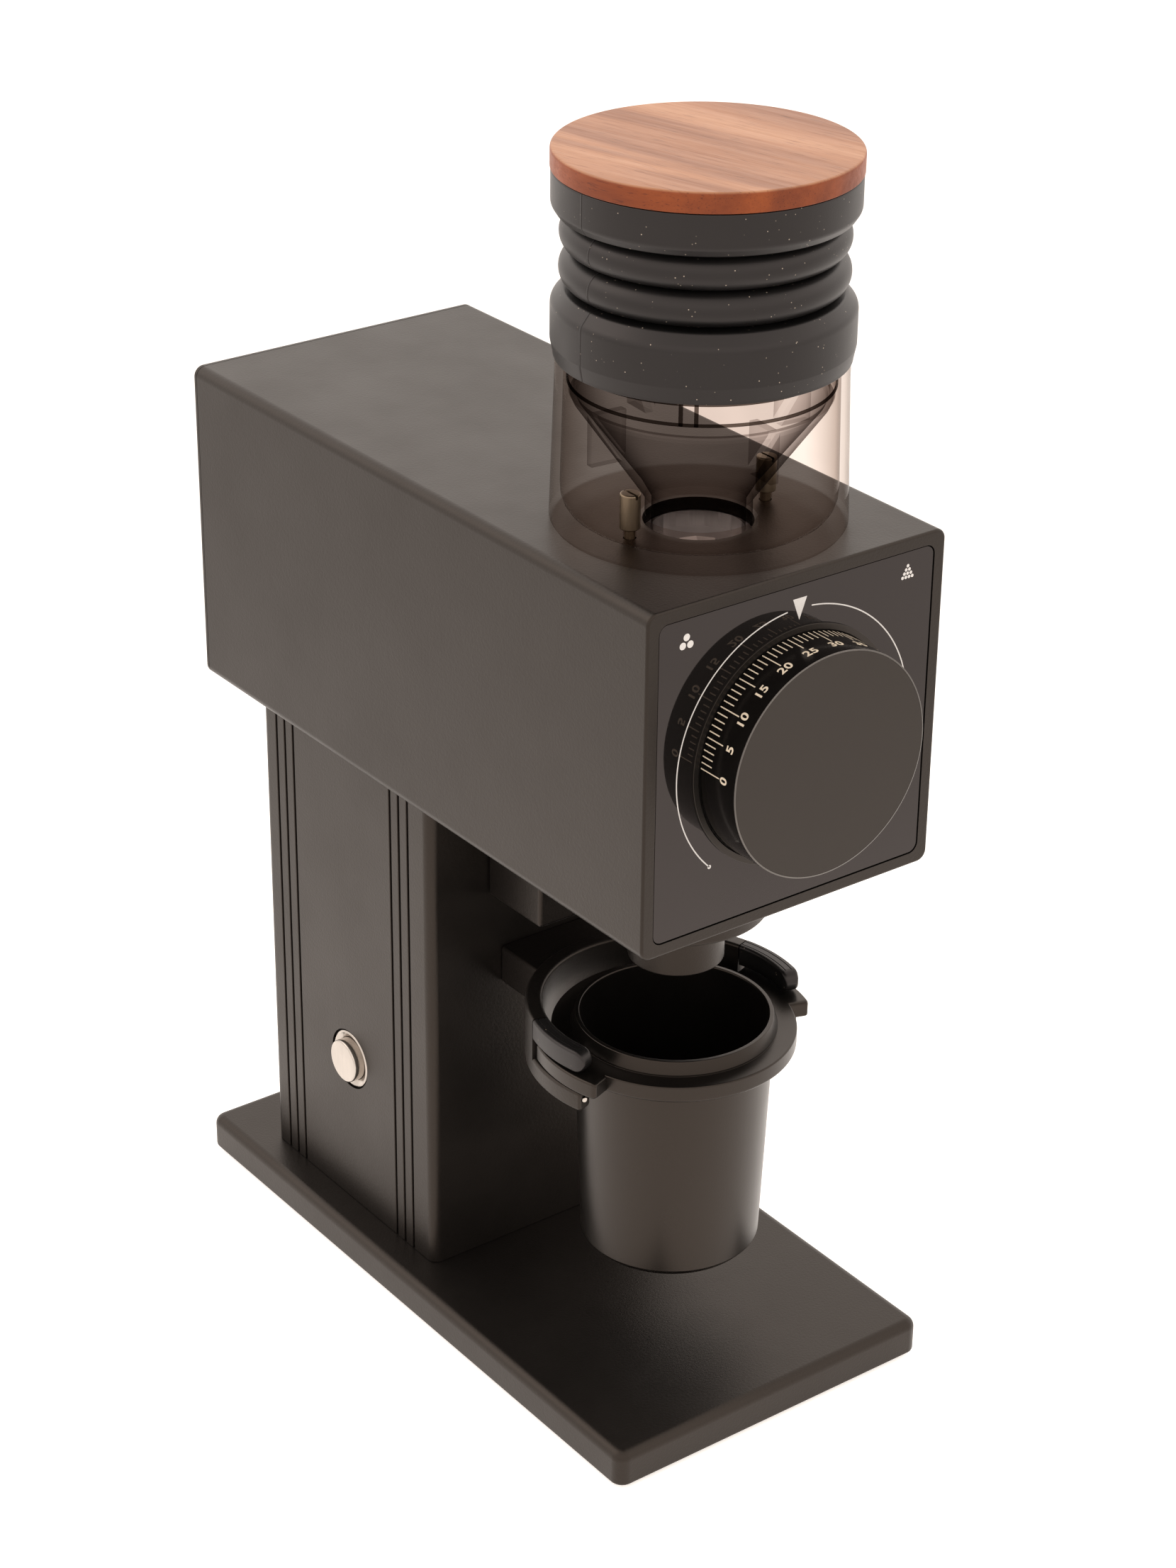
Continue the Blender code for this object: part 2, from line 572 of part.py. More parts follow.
def fork(looks):
    """An arm and a C-shaped ring. In front of the slot's start each side is an upper tip and a lower
    ledge."""
    inner, outer = FORK_RADII
    low, high = FORK_Z
    back = [(a, inner, outer, low, high) for a in spaced(SLOT_ANGLE, 180 - SLOT_ANGLE, 18)]
    ring = place("fork", sector_mesh("fork", FORK_Y, back), looks["powder_black"])
    front = COLUMN_Y - COLUMN_SIZE[1] / 2 - GAP
    arm_low = (-ARM_HALF_WIDTH, FORK_Y + outer - 6.0, ARM_Z[0])
    arm_mesh = box_mesh("fork_arm", arm_low, (ARM_HALF_WIDTH, front, ARM_Z[1]), [(runs_along(1), 0.8, 1)])
    arm = place("fork_arm", arm_mesh, None, cutter=True)
    middle = (0, FORK_Y, sum(ARM_Z) / 2)
    cut(arm, rod_cutter("fork_arm_inside", middle, (inner + outer) / 2, 30, sides=ROUND))
    join(ring, arm)
    core = PAD_THICK + 0.3
    overlap = 4.0
    for name, side in (("right", 1), ("left", -1)):
        tip = [(a, inner + core, outer - core, SLOT_Z[1] + core, high - core)
               for a in spaced(SLOT_ANGLE + overlap, -TIP_ANGLE, 8)]
        bar = sector_mesh(f"fork_tip_{name}", FORK_Y, mirrored_angles(tip, side))
        join(ring, place(f"fork_tip_{name}", bar, None, cutter=True))
        angles = spaced(SLOT_ANGLE + overlap, 1.5 - LEDGE_ANGLE, 8)
        ledge = [(a, inner, outer, low, SLOT_Z[0]) for a in angles]
        ledge.append((-LEDGE_ANGLE, inner, outer, low + 1.2, SLOT_Z[0]))
        bar = sector_mesh(f"fork_ledge_{name}", FORK_Y, mirrored_angles(ledge, side))
        join(ring, place(f"fork_ledge_{name}", bar, None, cutter=True))
        fork_pad(looks, name, side)
        fork_pin(looks, ring, name, side)


def fork_pad(looks, name, side):
    """The rubber sleeve on an upper tip: closed at the front, open where the tip enters it."""
    inner, outer = FORK_RADII
    low, high = SLOT_Z[1], FORK_Z[1]
    start = SLOT_ANGLE - 0.6
    stations = [(a, inner, outer, low, high) for a in spaced(start, -TIP_ANGLE, 8)]
    stations += rounded_tip(inner, outer, low, high, -TIP_ANGLE, -TIP_ANGLE - 5.0)
    pad = sector_mesh(f"fork_pad_{name}", FORK_Y, mirrored_angles(stations, side))
    sleeve = place(f"fork_pad_{name}", pad, looks["silicone"])
    wall = PAD_THICK
    room = [(a, inner + wall, outer - wall, low + wall, high - wall)
            for a in spaced(SLOT_ANGLE + 3.0, -TIP_ANGLE - 0.5, 8)]
    bar = sector_mesh(f"fork_pad_room_{name}", FORK_Y, mirrored_angles(room, side))
    cut(sleeve, place(f"fork_pad_room_{name}", bar, None, cutter=True))


def fork_pin(looks, ring, name, side):
    """A small steel pin in the end of a ledge, with its round head just proud of it."""
    angle = math.radians(-LEDGE_ANGLE)
    radius, depth = FORK_RADII[1] - 1.9, 6.0
    spot = (side * radius * math.cos(angle), FORK_Y + radius * math.sin(angle), SLOT_Z[0] - 2.6)
    cut(ring, rod_cutter(f"fork_pin_hole_{name}", spot, 1.1, 2 * depth, (0, 1, 0), 12))
    profile = [(0, 0.7), (0.6, 0.5), (0.9, 0), (0.9, 1 - depth), (0, 1 - depth)]
    turned(f"fork_pin_{name}", profile, looks["steel"], spot, FORWARD, sides=12, closed=False)


def cup(looks):
    low, top = 40.7, 115.7
    step = FLANGE_Z[1]
    profile = [
        (0, low + 2.4), (22.0, low + 2.4), (24.2, low + 4.4), (25.4, 71.5), (26.4, 92.5), (27.2, top - 0.4),
        (28.1, top), (28.7, top - 0.5), (29.9, step + 0.3), (29.9, step), (FLANGE_RADIUS - 0.3, step),
        (FLANGE_RADIUS, step - 0.3), (FLANGE_RADIUS, FLANGE_Z[0] + 1.0), (FLANGE_RADIUS - 1.0, FLANGE_Z[0]),
        (29.2, FLANGE_Z[0]), (28.7, FLANGE_Z[0] - 0.8), (28.3, 92.5), (27.4, 71.5), (26.3, low + 2.6),
        (25.3, low + 0.8), (23.3, low), (0, low),
    ]
    body = turned("cup", profile, looks["powder_black"], (0, CUP_Y, 0), closed=False)
    under = FLANGE_Z[0]
    for name, side in (("right", 1), ("left", -1)):
        lug = [(a, FLANGE_RADIUS - 4, LUG_RADIUS, under, step) for a in spaced(LUG_ANGLE, -LUG_ANGLE, 6)]
        bar = sector_mesh(f"lug_{name}", CUP_Y, mirrored_angles(lug, side))
        join(body, place(f"lug_{name}", bar, None, cutter=True))


# ---------------------------------------------------------------- dial and burrs

def along_shaft(y):
    return (0, y, AXIS_Z)


def dial(looks):
    """The dial's skirt carries the scale. Its hub passes the panel and turns on the carrier's thread."""
    reach = DIAL_FOOT - DIAL_FRONT
    cap = 1.6
    hub_end = -93.0 - DIAL_FOOT
    profile = [
        (0, reach - cap - GAP), (30.4, reach - cap - GAP), (30.4, reach - 0.9), (31.4, reach - 0.4),
        (DIAL_RADIUS, reach - 1.2), (DIAL_RADIUS, 0.4), (DIAL_RADIUS - 0.4, 0), (DIAL_HUB_RADIUS, 0),
        (DIAL_HUB_RADIUS, -hub_end), (DIAL_HUB_RADIUS - 4, -hub_end), (DIAL_HUB_RADIUS - 4, reach - 5),
        (0, reach - 5),
    ]
    turned("dial", profile, looks["satin_dark"], along_shaft(DIAL_FOOT), FORWARD, closed=False)
    face = disc_profile(30.1, reach - cap, reach, 0.4)
    turned("dial_face", face, looks["satin_dark"], along_shaft(DIAL_FOOT), FORWARD, closed=False)
    panel_face = HOUSING_Y[0] + PANEL_RECESS
    high = panel_face - GAP - DIAL_FOOT
    bezel = ring_profile(BEZEL_RADIUS, DIAL_HUB_RADIUS + 0.6, -high, BEZEL_THICK - high, 0.1)
    back = -PANEL_THICK - high
    lip = ring_profile(BEZEL_RADIUS - 1.4, DIAL_HUB_RADIUS + 0.6, back, BEZEL_THICK / 2 - high)
    ring = turned("dial_bezel", bezel, looks["plastic_black"], along_shaft(DIAL_FOOT), FORWARD)
    join(ring, turned("dial_bezel_lip", lip, None, along_shaft(DIAL_FOOT), FORWARD, cutter=True))


def grind_parts(looks):
    half = CHAMBER_HALF_WIDTH
    bottom, top = HOUSING_BOTTOM + HOUSING_WALL + GAP, HOUSING_TOP - HOUSING_WALL - GAP
    low, high = (-half, CHAMBER_Y[0], bottom), (half, CHAMBER_Y[1], top)
    mesh = box_mesh("grind_chamber", low, high, [(runs_along(1), 6.0, 2)])
    chamber = place("grind_chamber", mesh, looks["aluminium"])
    wall = 6.0
    depth = CHAMBER_Y[1] - CHAMBER_Y[0] - wall
    middle = along_shaft(CHAMBER_Y[0] + depth / 2 - 5)
    cut(chamber, rod_cutter("chamber_bore", middle, CARRIER_RADIUS + 0.1, depth + 10, (0, 1, 0), ROUND))
    feed_top, feed_end = Vector((0, HOPPER_Y, top)), Vector((0, -77.0, AXIS_Z + 20))
    lean = (feed_end - feed_top).normalized()
    middle = (feed_top + feed_end) / 2
    cut(chamber, rod_cutter("feed_bore", middle, 9.0, (feed_end - feed_top).length + 22, lean))
    cut(chamber, rod_cutter("funnel_seat", (0, HOPPER_Y, top), 15.0, 9.0, sides=24))
    cut(chamber, rod_cutter("chute_bore", (0, CUP_Y + 1.5, bottom), 10.5, 50))
    cut(chamber, rod_cutter("bearing_seat", along_shaft(CHAMBER_Y[1]), 11.2, 20, (0, 1, 0), 24))
    carrier(looks)
    burrs(looks)


def carrier(looks):
    """The ring that holds the outer burr. A key keeps it from turning, so the dial moves it along the
    shaft."""
    front, rear = CARRIER_Y
    length = rear - front
    threaded = DIAL_HUB_RADIUS + 0.3
    profile = [
        (CARRIER_RADIUS, 0), (CARRIER_RADIUS, -length), (CARRIER_BORE, -length), (CARRIER_BORE, -18.5),
        (threaded, -18.5), (threaded, 0),
    ]
    ring = turned("burr_carrier", profile, looks["brass"], along_shaft(front), FORWARD)
    feed_y = -77.0
    cut(ring, box_cutter("feed_window", (-9, feed_y - 8, AXIS_Z + 10), (9, feed_y + 6, AXIS_Z + 40)))
    cut(ring, box_cutter("grounds_window", (-12, rear - 8, AXIS_Z - 40), (12, rear + 4, AXIS_Z - 10)))


def burrs(looks):
    front, rear = BURR_Y
    length = rear - front
    rim = CARRIER_BORE - 0.3
    outer = [(rim, 0), (rim, -length), (21.4, -length), (16.5, -length / 2), (13.5, 0)]
    turned("outer_burr", outer, looks["steel"], along_shaft(front), FORWARD, sides=24)
    bore = SHAFT_RADIUS + 0.3
    inner = [(9.5, 0), (13.9, -length / 2), (19.0, -length), (bore, -length), (bore, 0)]
    turned("inner_burr", inner, looks["steel"], along_shaft(front), FORWARD, sides=24)
    place("auger", auger_mesh(bore), looks["steel"])
    sweeper(looks, bore)


def auger_mesh(bore):
    """A screw with two flights that pushes the beans back into the burrs. Its tip is closed over the
    shaft's end."""
    front, rear = -91.0, BURR_Y[0] - GAP
    core, flight, sides, turns, steps = 7.0, 12.0, 16, 1.1, 12
    sections = []
    for i in range(steps + 1):
        y = front + (rear - front) * i / steps
        twist = 2 * math.pi * turns * i / steps
        section = []
        for k in range(sides):
            angle = 2 * math.pi * k / sides
            height = max(0.0, math.cos(angle * 2)) ** 6
            radius = core + (flight - core) * height * min(1.0, 0.35 + i / 6)
            section.append((radius * math.cos(angle + twist), y, AXIS_Z + radius * math.sin(angle + twist)))
        sections.append(section)
    return loft_mesh("auger", sections)


def sweeper(looks, bore):
    """A hub with four blades that sweeps the grounds round to the chute, clear of the outer burr
    where the dial brings it furthest back."""
    hub, tip, half_blade, thick = 10.0, 23.2, 1.6, 5.0
    outline = []
    for k in range(4):
        turn = math.pi / 2 * k
        for radius, side in ((hub, -1), (tip, -1), (tip, 1), (hub, 1)):
            angle = turn + side * math.asin(half_blade / radius)
            outline.append((radius * math.cos(angle), radius * math.sin(angle)))
    mesh = sheet_mesh("sweeper", [outline, circle((0, 0), bore, 16)], thick)
    place("sweeper", mesh, looks["steel"], along_shaft(BURR_Y[1] + 0.7 + thick / 2), FORWARD)


# ---------------------------------------------------------------- drive train

def drive_train(looks):
    shaft_front, shaft_rear = BURR_Y[0] + 0.5, PLATE_FACE_Y[1] - 0.3
    shaft = disc_profile(SHAFT_RADIUS, -(shaft_rear - shaft_front), 0, 0.4)
    turned("drive_shaft", shaft, looks["steel"], along_shaft(shaft_front), FORWARD, sides=24, closed=False)
    bearing(looks, "front_bearing", CHAMBER_Y[1] - 6.2, 6.0, 10.9)
    bearing(looks, "rear_bearing", PLATE_FACE_Y[0] + 0.5, 4.0, 10.9)
    width = GEAR_Y[1] - GEAR_Y[0]
    outlines = [gear_outline(GEAR_TEETH, GEAR_MODULE), circle((0, 0), SHAFT_RADIUS + 0.3, 24)]
    gear = sheet_mesh("drive_gear", outlines, width)
    place("drive_gear", gear, looks["brass"], along_shaft(sum(GEAR_Y) / 2), FORWARD)
    motor_plate(looks)
    motor(looks)


def bearing(looks, name, front, width, outer):
    profile = ring_profile(outer, SHAFT_RADIUS + 0.05, -width, 0, 0.4)
    turned(name, profile, looks["steel"], along_shaft(front), FORWARD, sides=24)


def motor_plate(looks):
    """Spans the housing behind the gears. It holds the rear bearing, and the motor hangs on it."""
    thick = PLATE_FACE_Y[1] - PLATE_FACE_Y[0]
    side = PANEL_SIDE - 0.6
    outlines = [
        rounded_rectangle(side, side, SCREW_PORT + 0.5, 4), circle((0, 0), 11.2, 24),
        circle((0, MOTOR_Z - AXIS_Z), 7.5, 24),
    ]
    mesh = sheet_mesh("motor_plate", outlines, thick)
    place("motor_plate", mesh, looks["aluminium"], along_shaft(sum(PLATE_FACE_Y) / 2), FORWARD)


def motor(looks):
    front = PLATE_FACE_Y[1] + GAP
    radius, length = MOTOR_RADIUS, MOTOR_LENGTH
    can = [
        (0, -10), (3.4, -10), (3.4, 4), (7.0, 4), (7.0, 0), (radius - 0.8, 0), (radius, -0.8),
        (radius, 0.8 - length), (radius - 0.8, -length), (0, -length),
    ]
    turned("motor", can, looks["satin_dark"], (0, front, MOTOR_Z), FORWARD, sides=24, closed=False)
    shaft = disc_profile(2.6, -(front + 9 - GEAR_Y[0] + 1), 0, 0.3)
    spindle_front = GEAR_Y[0] - 1
    turned("motor_shaft", shaft, looks["steel"], (0, spindle_front, MOTOR_Z), FORWARD, sides=16,
           closed=False)
    # The gear has a gap straight below its centre, so the pinion is turned to have a tooth at its top.
    outline = gear_outline(PINION_TEETH, GEAR_MODULE, math.pi / PINION_TEETH)
    mesh = sheet_mesh("motor_pinion", [outline, circle((0, 0), 2.9, 16)], GEAR_Y[1] - GEAR_Y[0] - 1)
    place("motor_pinion", mesh, looks["steel"], (0, sum(GEAR_Y) / 2, MOTOR_Z), FORWARD)


# ---------------------------------------------------------------- controls

def controls(looks):
    outside = -COLUMN_SIZE[0] / 2
    centre = (outside, COLUMN_Y, BUTTON_Z)
    bore, under = BUTTON_CAP + 0.15, GAP - BUTTON_SEAT[1]
    shell = [
        (0, -12), (bore, -12), (bore, -0.7), (BUTTON_BEZEL - 0.4, 0), (BUTTON_BEZEL, -0.3),
        (BUTTON_BEZEL, under), (BUTTON_BARREL, under), (BUTTON_BARREL, -22), (0, -22),
    ]
    turned("button_housing", shell, looks["steel"], centre, LEFTWARD, sides=24, closed=False)
    cap = [(0, 2.7), (BUTTON_CAP - 0.5, 2.7), (BUTTON_CAP, 2.2), (BUTTON_CAP, -7), (0, -7)]
    turned("button_cap", cap, looks["steel"], centre, LEFTWARD, sides=24, closed=False)
    nut_outline = [circle((0, 0), 10.5, 6), circle((0, 0), BUTTON_BARREL + 0.2, 24)]
    mesh = sheet_mesh("button_nut", nut_outline, 2.5)
    centre = (outside + COLUMN_WALL + GAP + 1.25, COLUMN_Y, BUTTON_Z)
    place("button_nut", mesh, looks["steel"], centre, LEFTWARD)
    board(looks)
    inlet(looks)


def board(looks):
    """The control board stands in the column on a bent bracket."""
    y, bottom = 70.0, PLATE_TOP + GAP
    mesh = box_mesh("board_bracket", (-24, y, bottom), (24, y + 1.5, 130))
    bracket = place("board_bracket", mesh, looks["aluminium"])
    join(bracket, box_cutter("bracket_foot", (-24, y - 14, bottom), (24, y + 1, bottom + 1.5)))
    for x in (-18, 18):
        for z in (72, 122):
            join(bracket, rod_cutter(f"standoff_{x}_{z}", (x, y - 1.5, z), 2.5, 4.0, (0, 1, 0), 12))
    face = y - 3.5 - GAP
    mesh = box_mesh("control_board", (-22, face - 1.6, 66), (22, face, 128))
    card = place("control_board", mesh, looks["board_green"])
    for name, low, high in (
        ("capacitor", (-14, face - 22, 74), (2, face - 1, 90)),
        ("relay", (6, face - 14, 74), (18, face - 1, 98)),
        ("heat_sink", (-16, face - 12, 102), (14, face - 1, 116)),
    ):
        join(card, box_cutter(name, low, high))


def inlet(looks):
    """The mains socket in the column's rear face, with three blades in its recess."""
    rear = COLUMN_Y + COLUMN_SIZE[1] / 2
    z = 45.0
    low, high = (-24, rear + 0.1, z - 14), (24, rear + 3.0, z + 14)
    flange = box_mesh("power_inlet", low, high, [(runs_along(1), 2.0, 2)])
    body = place("power_inlet", flange, looks["plastic_black"])
    join(body, box_cutter("inlet_body", (-13.8, rear - 20, z - 10), (13.8, rear + 1.5, z + 10)))
    cut(body, box_cutter("inlet_recess", (-12.2, rear - 14, z - 8.4), (12.2, rear + 6, z + 8.4)))
    for name, x, height in (("line", -7, 0.0), ("earth", 0, 3.0), ("neutral", 7, 0.0)):
        low, high = (x - 1.0, rear - 16, z - 2 + height), (x + 1.0, rear - 1.0, z + 2 + height)
        join(body, box_cutter(f"blade_{name}", low, high))


def build():
    clear_scene()
    looks = palette()
    base_and_feet(looks)
    column(looks)
    housing(looks)
    hopper(looks)
    bellows(looks)
    chute(looks)
    neck_block(looks)
    fork(looks)
    cup(looks)
    dial(looks)
    grind_parts(looks)
    drive_train(looks)
    controls(looks)


build()
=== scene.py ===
"""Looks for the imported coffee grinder: its visible pieces in fine detail, their procedural
materials, the camera and the studio. Numbers are in millimetres unless a name says otherwise,
and MM turns them into metres. Positions come from the CAD nodes' boxes."""

import json
import math

import bmesh
import bpy
from mathutils import Matrix, Vector

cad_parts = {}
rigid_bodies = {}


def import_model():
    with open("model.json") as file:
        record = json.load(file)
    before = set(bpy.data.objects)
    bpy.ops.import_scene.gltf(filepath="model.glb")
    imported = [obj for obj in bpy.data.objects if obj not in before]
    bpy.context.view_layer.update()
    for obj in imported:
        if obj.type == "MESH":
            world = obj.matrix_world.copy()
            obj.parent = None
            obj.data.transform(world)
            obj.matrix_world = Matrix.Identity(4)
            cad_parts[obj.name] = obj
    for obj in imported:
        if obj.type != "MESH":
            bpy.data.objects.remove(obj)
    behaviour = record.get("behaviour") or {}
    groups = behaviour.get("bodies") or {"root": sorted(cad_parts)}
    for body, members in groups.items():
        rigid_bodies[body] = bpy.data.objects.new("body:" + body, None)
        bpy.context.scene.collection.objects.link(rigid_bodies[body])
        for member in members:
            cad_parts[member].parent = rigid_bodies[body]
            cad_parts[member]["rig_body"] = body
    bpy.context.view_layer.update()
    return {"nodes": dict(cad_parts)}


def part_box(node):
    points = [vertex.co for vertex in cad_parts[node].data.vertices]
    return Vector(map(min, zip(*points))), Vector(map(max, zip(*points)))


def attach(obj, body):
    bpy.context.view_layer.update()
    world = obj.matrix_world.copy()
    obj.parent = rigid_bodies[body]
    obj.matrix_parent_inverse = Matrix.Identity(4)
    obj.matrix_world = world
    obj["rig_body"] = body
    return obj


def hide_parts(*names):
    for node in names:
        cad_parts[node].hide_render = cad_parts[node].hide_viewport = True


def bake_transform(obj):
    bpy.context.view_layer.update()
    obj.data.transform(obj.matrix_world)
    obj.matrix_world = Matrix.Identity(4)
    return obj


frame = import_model()

MM = 0.001
LARGE, MEDIUM, SMALL = 160, 96, 48  # sides of round pieces
SHARP = math.radians(32)
TINY = 1e-6
WELD = 1e-7  # metres: points nearer than this are one
NEARLY_CLOSED = 88.0  # degrees: how far round a bar's rounded end is drawn
TURNS = {  # where a turned or flat piece's own +Z goes
    "up": Matrix.Identity(4),
    "front": Matrix.Rotation(math.radians(90), 4, "X"),
    "rear": Matrix.Rotation(math.radians(-90), 4, "X"),
    "left": Matrix.Rotation(math.radians(-90), 4, "Y"),
}


# ---------------------------------------------------------------- positions, from the CAD

def box_mm(node):
    low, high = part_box(node)
    return low / MM, high / MM


def middle_mm(node):
    low, high = box_mm(node)
    return (low + high) / 2


PLATE = box_mm("base_plate")
COLUMN = box_mm("column")
HOUSING = box_mm("housing")
COVER = box_mm("rear_cover")
PANEL = box_mm("front_panel")
DIAL = box_mm("dial_face")
BEZEL = box_mm("dial_bezel")
HOPPER = box_mm("hopper")
LID = box_mm("lid")
CUP = box_mm("cup")
FORK = box_mm("fork")
COLLAR = box_mm("chute_collar")
BRACKET = box_mm("housing_bracket")
BUTTON = box_mm("button_housing")
INLET = box_mm("power_inlet")

AXIS_Z = (PANEL[0].z + PANEL[1].z) / 2
COLUMN_Y = (COLUMN[0].y + COLUMN[1].y) / 2
HOPPER_Y = middle_mm("hopper").y
CUP_Y = middle_mm("chute_tube").y
BUTTON_Z = middle_mm("button_cap").z
FORK_RADIUS = 41.3
FORK_Y = FORK[0].y + FORK_RADIUS * math.sin(math.radians(15.5))


# ---------------------------------------------------------------- mesh helpers

def finished(name, bm, sharp=SHARP):
    bmesh.ops.recalc_face_normals(bm, faces=bm.faces)
    mesh = bpy.data.meshes.new(name)
    bm.to_mesh(mesh)
    bm.free()
    mesh.shade_smooth()
    mesh.set_sharp_from_angle(angle=sharp)
    return mesh


def moved(mesh, centre=(0, 0, 0), turn="up"):
    mesh.transform(Matrix.Translation(Vector(centre) * MM) @ TURNS[turn])
    return mesh


def eased(points, ring, steps=6):
    """Points with each (x, y, radius) corner replaced by an arc. The others stay as they are."""
    out = []
    count = len(points)
    for i, point in enumerate(points):
        here = Vector(point[:2])
        radius = point[2] if len(point) > 2 else 0.0
        if radius == 0 or (not ring and i in (0, count - 1)):
            out.append(tuple(here))
            continue
        before = Vector(points[i - 1][:2]) - here
        after = Vector(points[(i + 1) % count][:2]) - here
        half = before.angle(after) / 2
        reach = min(radius / math.tan(half), before.length * 0.49, after.length * 0.49)
        one, two = here + before.normalized() * reach, here + after.normalized() * reach
        for k in range(steps + 1):
            t = k / steps
            out.append(tuple(one * (1 - t) ** 2 + here * 2 * t * (1 - t) + two * t ** 2))
    return out


def lathe(name, profile, centre=(0, 0, 0), turn="up", sides=MEDIUM, ring=False):
    """A solid turned about its own Z. The profile's points are (radius, height) or, for a rounded
    corner, (radius, height, corner radius). A ring's profile closes, and another starts and ends
    on the axis."""
    bm = bmesh.new()
    angles = [2 * math.pi * k / sides for k in range(sides)]
    rows = []
    for radius, height in eased(profile, ring):
        if radius < TINY:
            rows.append([bm.verts.new((0, 0, height * MM))] * sides)
        else:
            rows.append([
                bm.verts.new((radius * MM * math.cos(a), radius * MM * math.sin(a), height * MM))
                for a in angles
            ])
    for one, two in list(zip(rows, rows[1:])) + ([(rows[-1], rows[0])] if ring else []):
        for k in range(sides):
            after = (k + 1) % sides
            corners = list(dict.fromkeys((one[k], one[after], two[after], two[k])))
            if len(corners) > 2:
                bm.faces.new(corners)
    return moved(finished(name, bm), centre, turn)


def runs_along(axis):
    """A test for the box edges that run along an axis."""
    def test(edge, _low, _high):
        return abs((edge.verts[1].co - edge.verts[0].co).normalized()[axis]) > 0.99
    return test


def lies_on(axis, high_side):
    """A test for the edges round one face of a box."""
    def test(edge, low, high):
        level = high[axis] if high_side else low[axis]
        at_level = all(abs(v.co[axis] - level) < WELD for v in edge.verts)
        return at_level and any(abs(face.normal[axis]) < 0.5 for face in edge.link_faces)
    return test


def block(name, low, high, edges=()):
    """A box between two corners. Each of edges is (test, radius, segments), taken in turn."""
    bm = bmesh.new()
    bmesh.ops.create_cube(bm, size=1.0)
    low, high = Vector(low) * MM, Vector(high) * MM
    bmesh.ops.scale(bm, vec=high - low, verts=bm.verts)
    bmesh.ops.translate(bm, vec=(low + high) / 2, verts=bm.verts)
    for test, radius, segments in edges:
        chosen = [e for e in bm.edges if test(e, low, high)]
        bmesh.ops.bevel(
            bm, geom=chosen, offset=radius * MM, segments=segments, profile=0.5, affect="EDGES"
        )
    return finished(name, bm)


def arc(centre, radius, start, end, steps):
    angles = [math.radians(start + (end - start) * i / steps) for i in range(steps + 1)]
    return [(centre[0] + radius * math.cos(a), centre[1] + radius * math.sin(a)) for a in angles]


def circle(centre, radius, sides=SMALL):
    return arc(centre, radius, 0, 360, sides)[:-1]


def rectangle(width, height, corner, steps=8):
    """The outline of a rectangle with round corners, about its middle."""
    x, y = width / 2 - corner, height / 2 - corner
    points = []
    for cx, cy, start in ((x, y, 0), (-x, y, 90), (-x, -y, 180), (x, -y, 270)):
        points += arc((cx, cy), corner, start, start + 90, steps)
    return points


def curve_mesh(name, curve):
    """The mesh of a curve or a text, closed."""
    drawn = bpy.data.objects.new(name, curve)
    bpy.context.scene.collection.objects.link(drawn)
    graph = bpy.context.evaluated_depsgraph_get()
    mesh = bpy.data.meshes.new_from_object(drawn.evaluated_get(graph))
    bpy.data.objects.remove(drawn, do_unlink=True)
    bm = bmesh.new()
    bm.from_mesh(mesh)
    bmesh.ops.remove_doubles(bm, verts=bm.verts, dist=WELD)
    return bm


def flat(name, outlines, thickness, ease=0.0, centre=(0, 0, 0), turn="up"):
    """Flat outlines, some of them holes, made thick about their own plane, with eased edges."""
    curve = bpy.data.curves.new(name, "CURVE")
    curve.dimensions = "2D"
    curve.fill_mode = "BOTH"
    curve.extrude = (thickness / 2 - ease) * MM
    curve.bevel_depth = ease * MM
    curve.bevel_resolution = 2
    curve.offset = -ease * MM
    for outline in outlines:
        spline = curve.splines.new("POLY")
        spline.points.add(len(outline) - 1)
        for point, (x, y) in zip(spline.points, outline):
            point.co = (x * MM, y * MM, 0.0, 1.0)
        spline.use_cyclic_u = True
    return moved(finished(name, curve_mesh(name, curve)), centre, turn)


def loft(name, sections):
    """A closed solid through sections of equally many points each, capped at both ends."""
    bm = bmesh.new()
    loops = [[bm.verts.new(Vector(point) * MM) for point in section] for section in sections]
    count = len(loops[0])
    for one, two in zip(loops, loops[1:]):
        for i in range(count):
            bm.faces.new((one[i], one[(i + 1) % count], two[(i + 1) % count], two[i]))
    bm.faces.new(loops[0])
    bm.faces.new(loops[-1])
    return finished(name, bm)


def bent_bar(name, centre_y, stations, corner, side=1):
    """A bar bent round an upright axis at x 0, whose section is a rectangle with round corners.
    Each station is (angle, inner, outer, low, high), and side -1 gives its mirror image."""
    sections = []
    for angle, inner, outer, low, high in stations:
        c, s = side * math.cos(math.radians(angle)), math.sin(math.radians(angle))
        radius, height = (inner + outer) / 2, (low + high) / 2
        ease = min(corner, (outer - inner) / 2 - 0.02, (high - low) / 2 - 0.02)
        sections.append([
            ((radius + u) * c, centre_y + (radius + u) * s, height + v)
            for u, v in rectangle(outer - inner, high - low, ease, 4)
        ])
    return loft(name, sections)


def spaced(start, end, steps):
    return [start + (end - start) * i / steps for i in range(steps + 1)]


def closing(inner, outer, low, high, start, end, radius, steps=6):
    """Stations that draw a bar in by radius on all four sides as it runs from start to end."""
    stations = []
    for i in range(1, steps + 1):
        share = math.sin(math.radians(NEARLY_CLOSED) * i / steps)
        inset = radius * (1 - math.sqrt(1 - share ** 2))
        angle = start + (end - start) * share
        stations.append((angle, inner + inset, outer - inset, low + inset, high - inset))
    return stations


def rod(name, centre, radius, length, turn="up", sides=SMALL):
    half = length / 2
    return lathe(name, [(0, half), (radius, half), (radius, -half), (0, -half)], centre, turn, sides)


